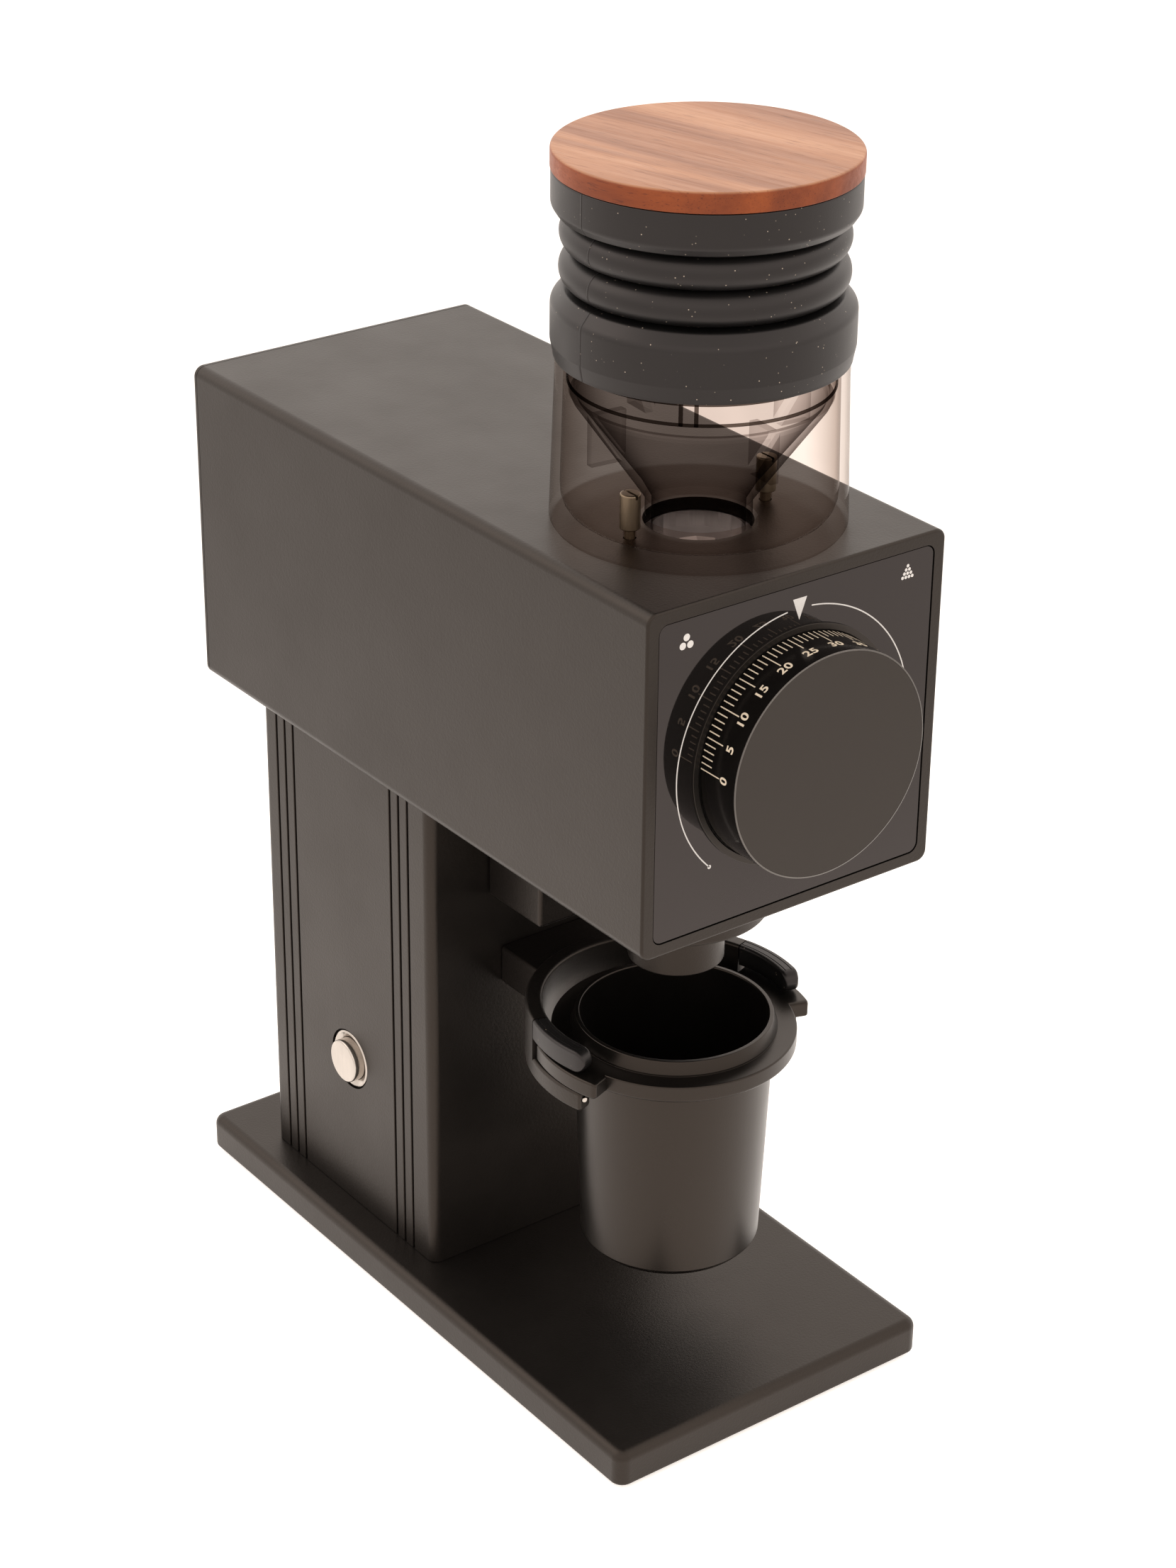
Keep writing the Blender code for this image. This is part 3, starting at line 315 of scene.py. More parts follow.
def combined(name, mesh, joins=(), cuts=()):
    """mesh with others joined to it and then cut from it, as one closed mesh."""
    helpers = []
    base = bpy.data.objects.new(name, mesh)
    bpy.context.scene.collection.objects.link(base)
    for operation, group in (("UNION", joins), ("DIFFERENCE", cuts)):
        for other in group:
            helper = bpy.data.objects.new("helper", other)
            bpy.context.scene.collection.objects.link(helper)
            step = base.modifiers.new(operation, "BOOLEAN")
            step.operation, step.solver, step.object = operation, "EXACT", helper
            helpers.append(helper)
    graph = bpy.context.evaluated_depsgraph_get()
    made = bpy.data.meshes.new_from_object(base.evaluated_get(graph))
    for thing in helpers + [base]:
        bpy.data.objects.remove(thing, do_unlink=True)
    bm = bmesh.new()
    bm.from_mesh(made)
    bmesh.ops.remove_doubles(bm, verts=bm.verts, dist=WELD)
    bmesh.ops.dissolve_degenerate(bm, edges=bm.edges, dist=WELD)
    made.materials.clear()
    return finished(name, bm)


# ---------------------------------------------------------------- materials

class Look:
    """A procedural material under way. Its patterns lie in the object's own space, which is the
    row frame, and pattern sizes are in millimetres."""

    def __init__(self, name, colour, roughness, **sockets):
        self.material = bpy.data.materials.new(name)
        self.material.use_nodes = True
        self.nodes = self.material.node_tree.nodes
        self.links = self.material.node_tree.links
        self.shader = self.nodes["Principled BSDF"]
        self.place = self.nodes.new("ShaderNodeTexCoord").outputs["Object"]
        self.shader.inputs["Base Color"].default_value = (*colour, 1.0)
        self.shader.inputs["Roughness"].default_value = roughness
        for socket, value in sockets.items():
            value = (*value, 1.0) if isinstance(value, tuple) else value
            self.shader.inputs[socket.replace("_", " ")].default_value = value
        self.last_bump = None

    def spread(self, turn_degrees, scale):
        """The place, turned about Z and then scaled, for patterns with a direction."""
        turn = self.nodes.new("ShaderNodeMapping")
        turn.inputs["Rotation"].default_value[2] = math.radians(turn_degrees)
        self.links.new(self.place, turn.inputs["Vector"])
        stretch = self.nodes.new("ShaderNodeMapping")
        stretch.inputs["Scale"].default_value = scale
        self.links.new(turn.outputs[0], stretch.inputs["Vector"])
        return stretch.outputs[0]

    def noise(self, size, detail=2.0, rough=0.5, place=None, distortion=0.0):
        node = self.nodes.new("ShaderNodeTexNoise")
        node.inputs["Scale"].default_value = 1000.0 / size
        node.inputs["Detail"].default_value = detail
        node.inputs["Roughness"].default_value = rough
        node.inputs["Distortion"].default_value = distortion
        self.links.new(place or self.place, node.inputs["Vector"])
        return node.outputs["Fac"]

    def specks(self, size, radius):
        """1 inside sparse round specks and 0 elsewhere."""
        node = self.nodes.new("ShaderNodeTexVoronoi")
        node.inputs["Scale"].default_value = 1000.0 / size
        self.links.new(self.place, node.inputs["Vector"])
        return self.span(node.outputs["Distance"], radius, radius * 0.7, 0.0, 1.0)

    def span(self, value, low, high, to_low, to_high):
        node = self.nodes.new("ShaderNodeMapRange")
        numbers = {"From Min": low, "From Max": high, "To Min": to_low, "To Max": to_high}
        for socket, number in numbers.items():
            node.inputs[socket].default_value = number
        self.links.new(value, node.inputs["Value"])
        return node.outputs["Result"]

    def multiply(self, one, two):
        node = self.nodes.new("ShaderNodeMath")
        node.operation = "MULTIPLY"
        self.links.new(one, node.inputs[0])
        self.links.new(two, node.inputs[1])
        return node.outputs[0]

    def ramp(self, value, *stops):
        node = self.nodes.new("ShaderNodeValToRGB")
        elements = node.color_ramp.elements
        while len(elements) < len(stops):
            elements.new(0.5)
        for element, (position, colour) in zip(elements, stops):
            element.position, element.color = position, (*colour, 1.0)
        self.links.new(value, node.inputs["Fac"])
        return node.outputs["Color"]

    def mix(self, share, one, two, blend="MIX"):
        """Two colours mixed. Each is an output or a plain colour."""
        node = self.nodes.new("ShaderNodeMix")
        node.data_type, node.blend_type = "RGBA", blend
        for source, socket in ((share, 0), (one, 6), (two, 7)):
            if isinstance(source, (float, int)):
                node.inputs[socket].default_value = source
            elif isinstance(source, tuple):
                node.inputs[socket].default_value = (*source, 1.0)
            else:
                self.links.new(source, node.inputs[socket])
        return node.outputs[2]

    def bump(self, height, depth):
        """Adds relief. depth is the height, in millimetres, that the pattern's 0 to 1 stands for."""
        node = self.nodes.new("ShaderNodeBump")
        node.inputs["Distance"].default_value = depth * MM
        node.inputs["Strength"].default_value = 1.0
        self.links.new(height, node.inputs["Height"])
        if self.last_bump:
            self.links.new(self.last_bump, node.inputs["Normal"])
        self.last_bump = node.outputs["Normal"]
        self.links.new(self.last_bump, self.shader.inputs["Normal"])

    def set(self, socket, value):
        self.links.new(value, self.shader.inputs[socket])


WARM_GLOSS = (1.0, 0.82, 0.70)
WOOD_TURN = 76.0  # degrees: the grain's direction


def shaded(colour, factor):
    return tuple(min(1.0, c * factor) for c in colour)


def coated(name, colour, roughness, grain, depth, gloss=0.38):
    """Paint or moulded plastic: fine grain, cloudy tone and a little wear in its gloss."""
    look = Look(name, colour, roughness, Specular_Tint=WARM_GLOSS, Specular_IOR_Level=gloss)
    fine = look.noise(grain, 3.0, 0.6)
    cloud = look.noise(28.0, 3.0, 0.6)
    tone = look.ramp(cloud, (0.32, shaded(colour, 0.88)), (0.68, shaded(colour, 1.12)))
    flecks = look.ramp(fine, (0.35, (0.82, 0.82, 0.82)), (0.65, (1.0, 1.0, 1.0)))
    look.set("Base Color", look.mix(1.0, tone, flecks, "MULTIPLY"))
    look.set("Roughness", look.span(cloud, 0.3, 0.7, roughness - 0.03, roughness + 0.03))
    look.bump(fine, depth)
    return look.material


def metal(name, colour, roughness, lines=0.15):
    """Machined metal with fine upright lines."""
    look = Look(name, colour, roughness, Metallic=1.0)
    brushed = look.noise(lines, 4.0, 0.6, look.spread(0.0, (1.0, 1.0, 0.02)))
    cloud = look.noise(9.0, 2.0)
    tone = look.ramp(cloud, (0.3, shaded(colour, 0.92)), (0.7, shaded(colour, 1.05)))
    streak = look.ramp(brushed, (0.3, (0.88, 0.88, 0.88)), (0.7, (1.0, 1.0, 1.0)))
    look.set("Base Color", look.mix(1.0, tone, streak, "MULTIPLY"))
    look.set("Roughness", look.span(brushed, 0.3, 0.7, roughness * 0.8, roughness * 1.2))
    look.bump(brushed, 0.004)
    return look.material


def silicone(name, seam=False):
    """Matte black silicone with a little dust, and with the mould's parting line if it has a seam."""
    colour = (0.0034, 0.0034, 0.0035)
    look = Look(name, colour, 0.4, Specular_Tint=(1.0, 0.9, 0.88), Specular_IOR_Level=0.38)
    fine = look.noise(0.5, 3.0, 0.6)
    cloud = look.noise(22.0, 3.0)
    tone = look.ramp(cloud, (0.3, shaded(colour, 0.85)), (0.7, shaded(colour, 1.2)))
    dust = look.multiply(look.specks(1.9, 0.10), look.span(look.noise(9.0), 0.42, 0.58, 0.0, 1.0))
    look.set("Base Color", look.mix(dust, tone, (0.30, 0.25, 0.20)))
    look.set("Roughness", look.span(cloud, 0.3, 0.7, 0.36, 0.44))
    look.bump(fine, 0.012)
    if seam:
        split = look.nodes.new("ShaderNodeSeparateXYZ")
        look.links.new(look.place, split.inputs[0])
        middle, half = HOPPER_Y * MM, 0.4 * MM
        rise = look.span(split.outputs["Y"], middle - half, middle, 0.0, 1.0)
        fall = look.span(split.outputs["Y"], middle, middle + half, 1.0, 0.0)
        look.bump(look.multiply(rise, fall), 0.25)
    return look.material


def clear(name, facing, grazing, sheen):
    """Smoked clear plastic, denser where it is seen along its wall. It shines only there, so that no
    ray is split by chance where the light goes straight through."""
    look = Look(name, shaded(facing, 0.05), 0.06, Specular_Tint=(0.9, 0.8, 0.74))
    edge = look.nodes.new("ShaderNodeLayerWeight")
    edge.inputs["Blend"].default_value = 0.35
    tint = look.nodes.new("ShaderNodeBsdfTransparent")
    density = look.ramp(edge.outputs["Facing"], (0.25, facing), (0.85, grazing),
                        (0.99, shaded(grazing, 0.4)))
    haze = look.ramp(look.noise(18.0, 2.0), (0.3, (0.97, 0.97, 0.97)), (0.7, (1.0, 1.0, 1.0)))
    look.links.new(look.mix(1.0, density, haze, "MULTIPLY"), tint.inputs["Color"])
    both = look.nodes.new("ShaderNodeMixShader")
    look.links.new(look.span(edge.outputs["Facing"], 0.62, 1.0, 0.0, sheen), both.inputs["Fac"])
    look.links.new(tint.outputs[0], both.inputs[1])
    look.links.new(look.shader.outputs[0], both.inputs[2])
    look.links.new(both.outputs[0], look.nodes["Material Output"].inputs["Surface"])
    look.bump(look.noise(16.0, 1.0), 0.01)
    return look.material


def wood():
    """Oiled reddish hardwood: straight grain on the lid's faces, darker end grain round its side."""
    look = Look("wood", (0.42, 0.21, 0.13), 0.42, Specular_IOR_Level=0.25, Coat_Weight=0.05,
                Coat_Roughness=0.35)
    bands = look.noise(17.0, 1.5, 0.45, look.spread(WOOD_TURN, (0.14, 1.0, 0.5)), 0.8)
    grain = look.noise(1.6, 4.0, 0.65, look.spread(WOOD_TURN, (0.045, 1.0, 1.0)))
    pores = look.noise(0.42, 2.0, 0.5, look.spread(WOOD_TURN, (0.06, 1.0, 1.0)))
    base = look.ramp(bands, (0.34, (0.245, 0.104, 0.052)), (0.50, (0.345, 0.158, 0.078)),
                     (0.68, (0.405, 0.205, 0.112)))
    streak = look.ramp(grain, (0.30, (0.80, 0.73, 0.68)), (0.62, (1.0, 1.0, 1.0)))
    pitted = look.ramp(pores, (0.30, (0.45, 0.36, 0.30)), (0.40, (1.0, 1.0, 1.0)))
    tone = look.mix(0.75, base, streak, "MULTIPLY")
    tone = look.mix(0.65, tone, pitted, "MULTIPLY")
    split = look.nodes.new("ShaderNodeSeparateXYZ")
    look.links.new(look.nodes.new("ShaderNodeNewGeometry").outputs["Normal"], split.inputs[0])
    side = look.span(split.outputs["Z"], 0.35, 0.9, 1.0, 0.0)
    end_grain = look.mix(1.0, tone, (0.60, 0.27, 0.08), "MULTIPLY")
    look.set("Base Color", look.mix(side, tone, end_grain))
    look.set("Roughness", look.span(grain, 0.3, 0.7, 0.50, 0.36))
    look.bump(grain, 0.02)
    look.bump(pores, 0.03)
    return look.material


def panel_gloss():
    colour = (0.0060, 0.0054, 0.0052)
    look = Look("gloss_black", colour, 0.035, IOR=1.46, Specular_Tint=(1.0, 0.85, 0.82))
    cloud = look.noise(35.0, 2.0)
    look.set("Base Color", look.ramp(cloud, (0.3, shaded(colour, 0.93)), (0.7, shaded(colour, 1.07))))
    look.set("Roughness", look.span(look.noise(0.6, 2.0), 0.3, 0.7, 0.02, 0.05))
    look.bump(look.noise(45.0, 1.0), 0.01)
    return look.material


def board_look():
    look = Look("board_green", (0.02, 0.13, 0.06), 0.35)
    tracks = look.noise(2.0, 1.0, 0.5, look.spread(0.0, (1.0, 1.0, 0.2)))
    look.set("Base Color", look.ramp(tracks, (0.48, (0.015, 0.10, 0.045)), (0.52, (0.03, 0.18, 0.08))))
    look.bump(tracks, 0.03)
    return look.material


def printed(name, colour):
    look = Look(name, colour, 0.55)
    worn = look.noise(0.5, 3.0)
    look.set("Base Color", look.ramp(worn, (0.25, shaded(colour, 0.9)), (0.6, colour)))
    look.bump(worn, 0.004)
    return look.material


LOOKS = {
    "powder_black": coated("powder_black", (0.0034, 0.0031, 0.0030), 0.40, 0.8, 0.05),
    "gloss_black": panel_gloss(),
    "satin_dark": coated("satin_dark", (0.009, 0.0084, 0.0079), 0.44, 0.30, 0.006),
    "dial_gloss": coated("dial_gloss", (0.002, 0.002, 0.002), 0.17, 1.2, 0.001, 0.3),
    "dial_edge": metal("dial_edge", (0.13, 0.12, 0.112), 0.30),
    "satin_black": coated("satin_black", (0.0030, 0.0027, 0.0025), 0.30, 0.6, 0.012),
    "smoked": clear("smoked", (0.968, 0.945, 0.932), (0.70, 0.65, 0.62), 0.6),
    "smoked_insert": clear("smoked_insert", (0.90, 0.885, 0.88), (0.38, 0.35, 0.34), 0.2),
    "smoked_ring": clear("smoked_ring", (0.94, 0.93, 0.925), (0.55, 0.51, 0.49), 0.2),
    # The lips' and the catch's tint is far denser than the ring's: painted shade, for the dark lines that
    # their edges show.
    "smoked_lip_painted_shade": clear("smoked_lip_painted_shade", (0.40, 0.37, 0.35), (0.12, 0.10, 0.09), 0.3),
    "silicone": silicone("silicone"),
    "bellows_silicone": silicone("bellows_silicone", seam=True),
    "wood": wood(),
    "steel": metal("steel", (0.49, 0.445, 0.405), 0.22),
    "brass": metal("brass", (0.70, 0.50, 0.22), 0.28),
    # Dull brass for the hopper screws: a little rougher than the brass, and darkened with painted shade for
    # how dim they look through the smoked wall.
    "brass_dull_painted_shade": metal("brass_dull_painted_shade", (0.24, 0.20, 0.145), 0.36),
    "aluminium": metal("aluminium", (0.58, 0.58, 0.59), 0.38, lines=0.4),
    "board_green": board_look(),
    "plastic_black": coated("plastic_black", (0.006, 0.0057, 0.0055), 0.36, 0.45, 0.008),
    "white_print": printed("white_print", (0.58, 0.56, 0.54)),
    "cream_print": printed("cream_print", (0.62, 0.53, 0.41)),
}


def piece(name, mesh, look, *nodes, body=None):
    """A visible piece that stands for CAD nodes and rides on their body, or on the named one."""
    mesh.materials.clear()
    mesh.materials.append(LOOKS[look])
    thing = bpy.data.objects.new(name, mesh)
    bpy.context.scene.collection.objects.link(thing)
    if not look.startswith("smoked"):
        even = thing.modifiers.new("even_shading", "WEIGHTED_NORMAL")
        even.keep_sharp = True
    if body != "blend":
        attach(thing, body or frame["nodes"][nodes[0]]["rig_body"])
    if nodes:
        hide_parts(*nodes)
    return thing


# ---------------------------------------------------------------- base, column and housing

def base():
    low, high = PLATE
    rounding = [(runs_along(2), 4.0, 10), (lies_on(2, True), 3.0, 8), (lies_on(2, False), 1.0, 3)]
    cuts = []
    for end in ("front", "rear"):
        for side in ("left", "right"):
            foot, screw = middle_mm(f"foot_{end}_{side}"), middle_mm(f"base_screw_{end}_{side}")
            cuts.append(rod("pocket", (foot.x, foot.y, low.z), 7.3, 2.0))
            cuts.append(rod("head_hole", (screw.x, screw.y, low.z), 4.6, 7.4))
            cuts.append(rod("hole", (screw.x, screw.y, low.z + 6), 2.7, 20))
            profile = [
                (0, 0.4), (3.6, 0.4), (4.0, 0, 0.2), (6.6, 0, 0.5), (7.0, 0.6, 0.3), (7.0, 2.3), (0, 2.3)
            ]
            foot_mesh = lathe("foot", profile, (foot.x, foot.y, 0), sides=SMALL)
            piece(f"rubber_foot_{end}_{side}", foot_mesh, "silicone", f"foot_{end}_{side}")
    plate = combined("plate", block("plate", low, high, rounding), cuts=cuts)
    piece("plate", plate, "powder_black", "base_plate")


def grooved_outline():
    """The column's outline about its middle, with narrow grooves down both sides."""
    low, high = COLUMN
    corner, width, depth, lip = 3.2, 1.0, 0.6, 0.16
    half_x, half_y = (high.x - low.x) / 2, (high.y - low.y) / 2
    x, y = half_x - corner, half_y - corner
    right = []
    for middle in (-33.95, -29.35, -24.85, 27.45, 32.05, 36.65):
        one, two, inside = middle - width / 2, middle + width / 2, half_x - depth
        right += [(half_x, one - lip), (half_x - lip, one), (inside, one),
                  (inside, two), (half_x - lip, two), (half_x, two + lip)]
    left = [(-px, py) for px, py in reversed(right)]
    return (
        arc((x, -y), corner, 270, 360, 8) + right + arc((x, y), corner, 0, 90, 8)
        + arc((-x, y), corner, 90, 180, 8) + left + arc((-x, -y), corner, 180, 270, 8)
    )


def column():
    low, high = COLUMN
    wall = 2.5
    inside = rectangle(high.x - low.x - 2 * wall, high.y - low.y - 2 * wall, 3.2, 4)
    centre = (0, COLUMN_Y, (low.z + high.z) / 2)
    tube = flat("tube", [grooved_outline(), inside], high.z - low.z, centre=centre)
    seat = lathe("seat", [(0, 5), (10.2, 5), (9.8, 0.0), (9.8, -1.6), (0, -1.6)],
                 (low.x, COLUMN_Y, BUTTON_Z), "left", 64)
    hole = rod("hole", (low.x, COLUMN_Y, BUTTON_Z), 8.1, 12, "left")
    inlet = block("inlet", (-14.2, high.y - 8, 34.8), (14.2, high.y + 8, 55.2))
    piece("column_tube", combined("tube", tube, cuts=[seat, hole, inlet]), "powder_black", "column")


def housing():
    low, high = HOUSING
    middle, length = (low.y + high.y) / 2, high.y - low.y
    rounding = [(runs_along(1), 3.2, 10), (lies_on(1, False), 0.8, 5)]
    shell = block("shell", low, high, rounding)
    side = PANEL[1].x - PANEL[0].x + 0.6
    inside = flat("inside", [rectangle(side, side, 14.0, 6)], length + 20,
                  centre=(0, middle, AXIS_Z), turn="front")
    seat_depth = PANEL[1].y - low.y + 0.2
    seat = flat("seat", [rectangle(side, side, 3.0, 8)], 2 * seat_depth,
                centre=(0, low.y, AXIS_Z), turn="front")
    throat = rod("throat", (0, HOPPER_Y, high.z), 15.0, 20)
    chute_hole = rod("chute_hole", (0, CUP_Y, low.z), 14.2, 20)
    cuts = [inside, seat, throat, chute_hole]
    cuts += [rod("thread", (x, HOPPER_Y, high.z), 1.8, 20, sides=16) for x in (-23, 23)]
    piece("housing_shell", combined("shell", shell, cuts=cuts), "powder_black", "housing")
    cover()


def cover():
    """The rear cover, with its four socket screws let into it."""
    low, high = COVER
    rounding = [(runs_along(1), 3.2, 10), (lies_on(1, True), 0.5, 4)]
    cuts = []
    for height in ("lower", "upper"):
        for side in ("left", "right"):
            node = f"rear_screw_{height}_{side}"
            spot = middle_mm(node)
            at = (spot.x, high.y, spot.z)
            seat = [(0, 3), (3.4, 3), (2.9, -0.3), (2.9, -3), (0, -3)]
            cuts.append(lathe("seat", seat, at, "rear", SMALL))
            head = lathe("head", [(0, -0.2), (2.5, -0.2, 0.3), (2.5, -1.3), (1.2, -1.3), (1.2, -11),
                                  (0, -11)], at, "rear", SMALL)
            socket = lathe("socket", [(0, 1), (1.35, 1), (1.35, -1.0), (0, -1.3)], at, "rear", 6)
            piece(f"cover_screw_{height}_{side}", combined("head", head, cuts=[socket]), "steel", node)
    piece("cover", combined("cover", block("cover", low, high, rounding), cuts=cuts),
          "powder_black", "rear_cover")


def band(radius, width, start, end, steps=90):
    """The outline of an arc drawn with a pen of the given width."""
    outer = arc((0, 0), radius + width / 2, start, end, steps)
    return outer + arc((0, 0), radius - width / 2, end, start, steps)


def panel():
    """The gloss sheet with its white marks, which are as thin as ink."""
    low, high = PANEL
    side, thick = high.x - low.x, high.y - low.y
    outlines = [rectangle(side, side, 2.7), circle((0, 0), 33.3, LARGE)]
    sheet = flat("sheet", outlines, thick, 0.12, (0, (low.y + high.y) / 2, AXIS_Z), "front")
    piece("panel_sheet", sheet, "gloss_black", "front_panel")
    radius, line, start, end = 39.4, 0.36, 95.9, 225.4
    outlines = [band(radius, line, start, end), band(radius, line, 180 - end, 180 - start),
                [(-2.35, 42.3), (0, 36.1), (2.35, 42.3)]]
    for angle in (math.radians(end), math.radians(180 - end)):
        outlines.append(circle((radius * math.cos(angle), radius * math.sin(angle)), 0.6, 24))
    for x, y in ((0, 1.22), (-1.22, -0.97), (1.22, -0.97)):
        outlines.append(circle((-37.2 + x, 39.75 + y), 1.02, 24))
    for row in range(4):
        for place in range(row + 1):
            spot = (37.1 + (place - row / 2) * 1.13, 42.0 - row * 1.07)
            outlines.append(circle(spot, 0.48, 16))
    marks = flat("marks", outlines, 0.06, centre=(0, low.y, AXIS_Z), turn="front")
    piece("panel_marks", marks, "white_print", body="root")


# ---------------------------------------------------------------- dial

ZERO_ANGLE, STEP_ANGLE = 175.1, 3.09  # degrees: where 0 stands, and the turn between two ticks
LAST_STEP = 90
DIAL_RADIUS = 32.2


def wrapped(bm, angle, y, radius):
    """Bends a flat drawing round the dial's side: its X runs clockwise, its Y to the panel."""
    for vert in bm.verts:
        u, v, w = vert.co / MM
        turn = math.radians(angle) - u / radius
        out = radius + w
        vert.co = Vector((out * math.cos(turn), y + v, AXIS_Z + out * math.sin(turn))) * MM


def figure(text):
    """Bold, wide digits about the origin."""
    curve = bpy.data.curves.new(text, "FONT")
    curve.body = text
    curve.size = 3.6 * MM
    curve.align_x, curve.align_y = "CENTER", "CENTER"
    curve.offset = 0.085 * MM
    curve.extrude = 0.03 * MM
    curve.resolution_u = 6
    curve.space_character = 1.08
    bm = curve_mesh(text, curve)
    xs, ys = [v.co.x for v in bm.verts], [v.co.y for v in bm.verts]
    shift = Vector(((min(xs) + max(xs)) / 2, (min(ys) + max(ys)) / 2, 0))
    for vert in bm.verts:
        vert.co -= shift
        vert.co.x *= 1.15
    return bm


def tick(length, width=0.33):
    """A tick from the dial's foot towards its front, cut across so that it bends."""
    bm = bmesh.new()
    bmesh.ops.create_cube(bm, size=1.0)
    for vert in bm.verts:
        vert.co.x *= width * MM
        vert.co.y = (vert.co.y - 0.5) * length * MM
        vert.co.z *= 0.06 * MM
    return bm


def dial():
    """The knob, its cap and bright rim, and the dark ring round its foot. Profiles rise from the foot."""
    foot_y = -103.2
    reach, hub = foot_y - DIAL[0].y, 10.2
    profile = [
        (0, reach - 1.0), (31.8, reach - 1.0), (31.8, reach - 0.3), (DIAL_RADIUS, reach - 0.3),
        (DIAL_RADIUS, 0.3, 0.2), (31.9, 0, 0.2), (20.0, 0), (20.0, -hub), (16.0, -hub), (16.0, reach - 5),
        (0, reach - 5),
    ]
    body = lathe("knob", profile, (0, foot_y, AXIS_Z), "front", LARGE)
    piece("dial_body", body, "dial_gloss", "dial")
    face = [(0, reach), (31.7, reach, 0.06), (31.7, reach - 0.9), (0, reach - 0.9)]
    piece("dial_cap", lathe("cap", face, (0, foot_y, AXIS_Z), "front", LARGE), "satin_dark", "dial_face")
    rim = [(31.75, reach - 0.2), (31.75, reach), (31.95, reach), (DIAL_RADIUS, reach - 0.15),
           (DIAL_RADIUS, reach - 0.28), (31.75, reach - 0.28)]
    piece("dial_rim", lathe("rim", rim, (0, foot_y, AXIS_Z), "front", LARGE, ring=True), "dial_edge",
          body="dial")
    front, back = foot_y - BEZEL[0].y, foot_y - PANEL[0].y - 0.2
    ring = [
        (34.3, back), (34.3, front, 0.15), (32.6, front, 0.1), (32.2, front - 0.25, 0.1),
        (20.6, front - 0.25), (20.6, back - 2.8), (32.9, back - 2.8), (32.9, back),
    ]
    piece("bezel", lathe("bezel", ring, (0, foot_y, AXIS_Z), "front", LARGE, ring=True),
          "plastic_black", "dial_bezel")
    scale_marks(foot_y)


def scale_marks(foot_y):
    """A tick for each step from 0 to 90, longer at each fifth and tenth, and a number at each fifth."""
    whole = bmesh.new()
    for value in range(LAST_STEP + 1):
        angle = ZERO_ANGLE - STEP_ANGLE * value
        length = 7.5 if value % 10 == 0 else 6.4 if value % 5 == 0 else 4.1
        parts = [(tick(length), foot_y - 0.1)]
        if value % 5 == 0:
            parts.append((figure(str(value)), -112.5))
        for bm, y in parts:
            wrapped(bm, angle, y, DIAL_RADIUS)
            part = bpy.data.meshes.new("part")
            bm.to_mesh(part)
            bm.free()
            whole.from_mesh(part)
    piece("dial_scale", finished("scale", whole), "cream_print", body="dial")


# ---------------------------------------------------------------- hopper, bellows and lid

def hopper():
    """The bowl, which is open at its top and its throat, and the two screws that hold it down."""
    low, high = HOPPER
    foot, neck, wall = 39.9, 38.5, 2.6
    floor = low.z + 2.4
    profile = [
        (neck, high.z, 0.5), (38.65, 311.0), (foot, low.z + 1.3, 0.8), (foot - 0.9, low.z, 0.4),
        (16.0, low.z, 0.3), (16.0, floor, 0.3), (foot - wall - 0.1, floor, 8.0), (neck - wall, high.z, 0.5),
    ]
    body = lathe("bowl", profile, (0, HOPPER_Y, 0), sides=LARGE, ring=True)
    cuts = []
    for name, x in (("left", -23), ("right", 23)):
        cuts.append(rod("hole", (x, HOPPER_Y, low.z), 1.8, 20))
        head = [(0, 283), (2.8, 283, 0.5), (2.8, floor + 0.2, 0.3), (1.5, floor + 0.2), (1.5, 267), (0, 267)]
        screw = lathe("screw", head, (x, HOPPER_Y, 0), sides=SMALL)
        slot = block("slot", (x - 0.4, HOPPER_Y - 4, 281.8), (x + 0.4, HOPPER_Y + 4, 284))
        # The screws' brass is darkened with painted shade, for how dim they look through the smoked wall.
        piece(f"hopper_bolt_{name}", combined("screw", screw, cuts=[slot]), "brass_dull_painted_shade",
              f"hopper_screw_{name}")
    piece("hopper_bowl", combined("bowl", body, cuts=cuts), "smoked", "hopper")
    funnel()


def funnel():
    """The insert: a ring with two lips and a catch, a cone to the spout, and ribs on the cone."""
    axis = (0, HOPPER_Y, 0)
    ring = lathe("ring", [(35.1, 315.8), (34.9, 306.6), (33.5, 306.6), (33.5, 315.8)], axis,
                 sides=LARGE, ring=True)
    piece("hopper_funnel_ring", ring, "smoked_ring", "funnel_ring")
    profile = [
        (34.6, 306.4), (33.9, 304.6, 0.8), (17.6, 281.6, 2.0), (14.4, 277.0, 1.0), (14.4, 267.5, 0.3),
        (12.6, 267.5, 0.3), (12.6, 277.2, 1.0), (15.9, 283.0, 2.0), (32.6, 305.0, 1.0), (33.0, 306.4),
    ]
    cone = lathe("cone", profile, axis, sides=LARGE, ring=True)
    ribs = [upright("rib", angle, 24.0, 34.4, 292.0, 306.2, 1.25) for angle in (-5.0, 85.0, 175.0, -95.0)]
    piece("hopper_funnel_cone", combined("cone", cone, joins=ribs), "smoked_insert",
          "funnel_cone", "funnel_spout")
    # The lips and the catch are real shapes. Their dense tint is painted shade, for the dark lines that
    # their edges show.
    for name, top in (("upper", 316.0), ("lower", 310.4)):
        lip = [(35.5, top, 0.15), (35.5, top - 0.8, 0.15), (34.95, top - 0.8), (34.95, top)]
        piece(f"funnel_lip_{name}", lathe("lip", lip, axis, sides=LARGE, ring=True), "smoked_lip_painted_shade",
              body="root")
    for name, angle in (("left", -137.2), ("right", -130.8)):
        piece(f"funnel_catch_{name}", upright("catch", angle, 35.0, 35.75, 309.8, 315.9, 0.55),
              "smoked_lip_painted_shade", body="root")


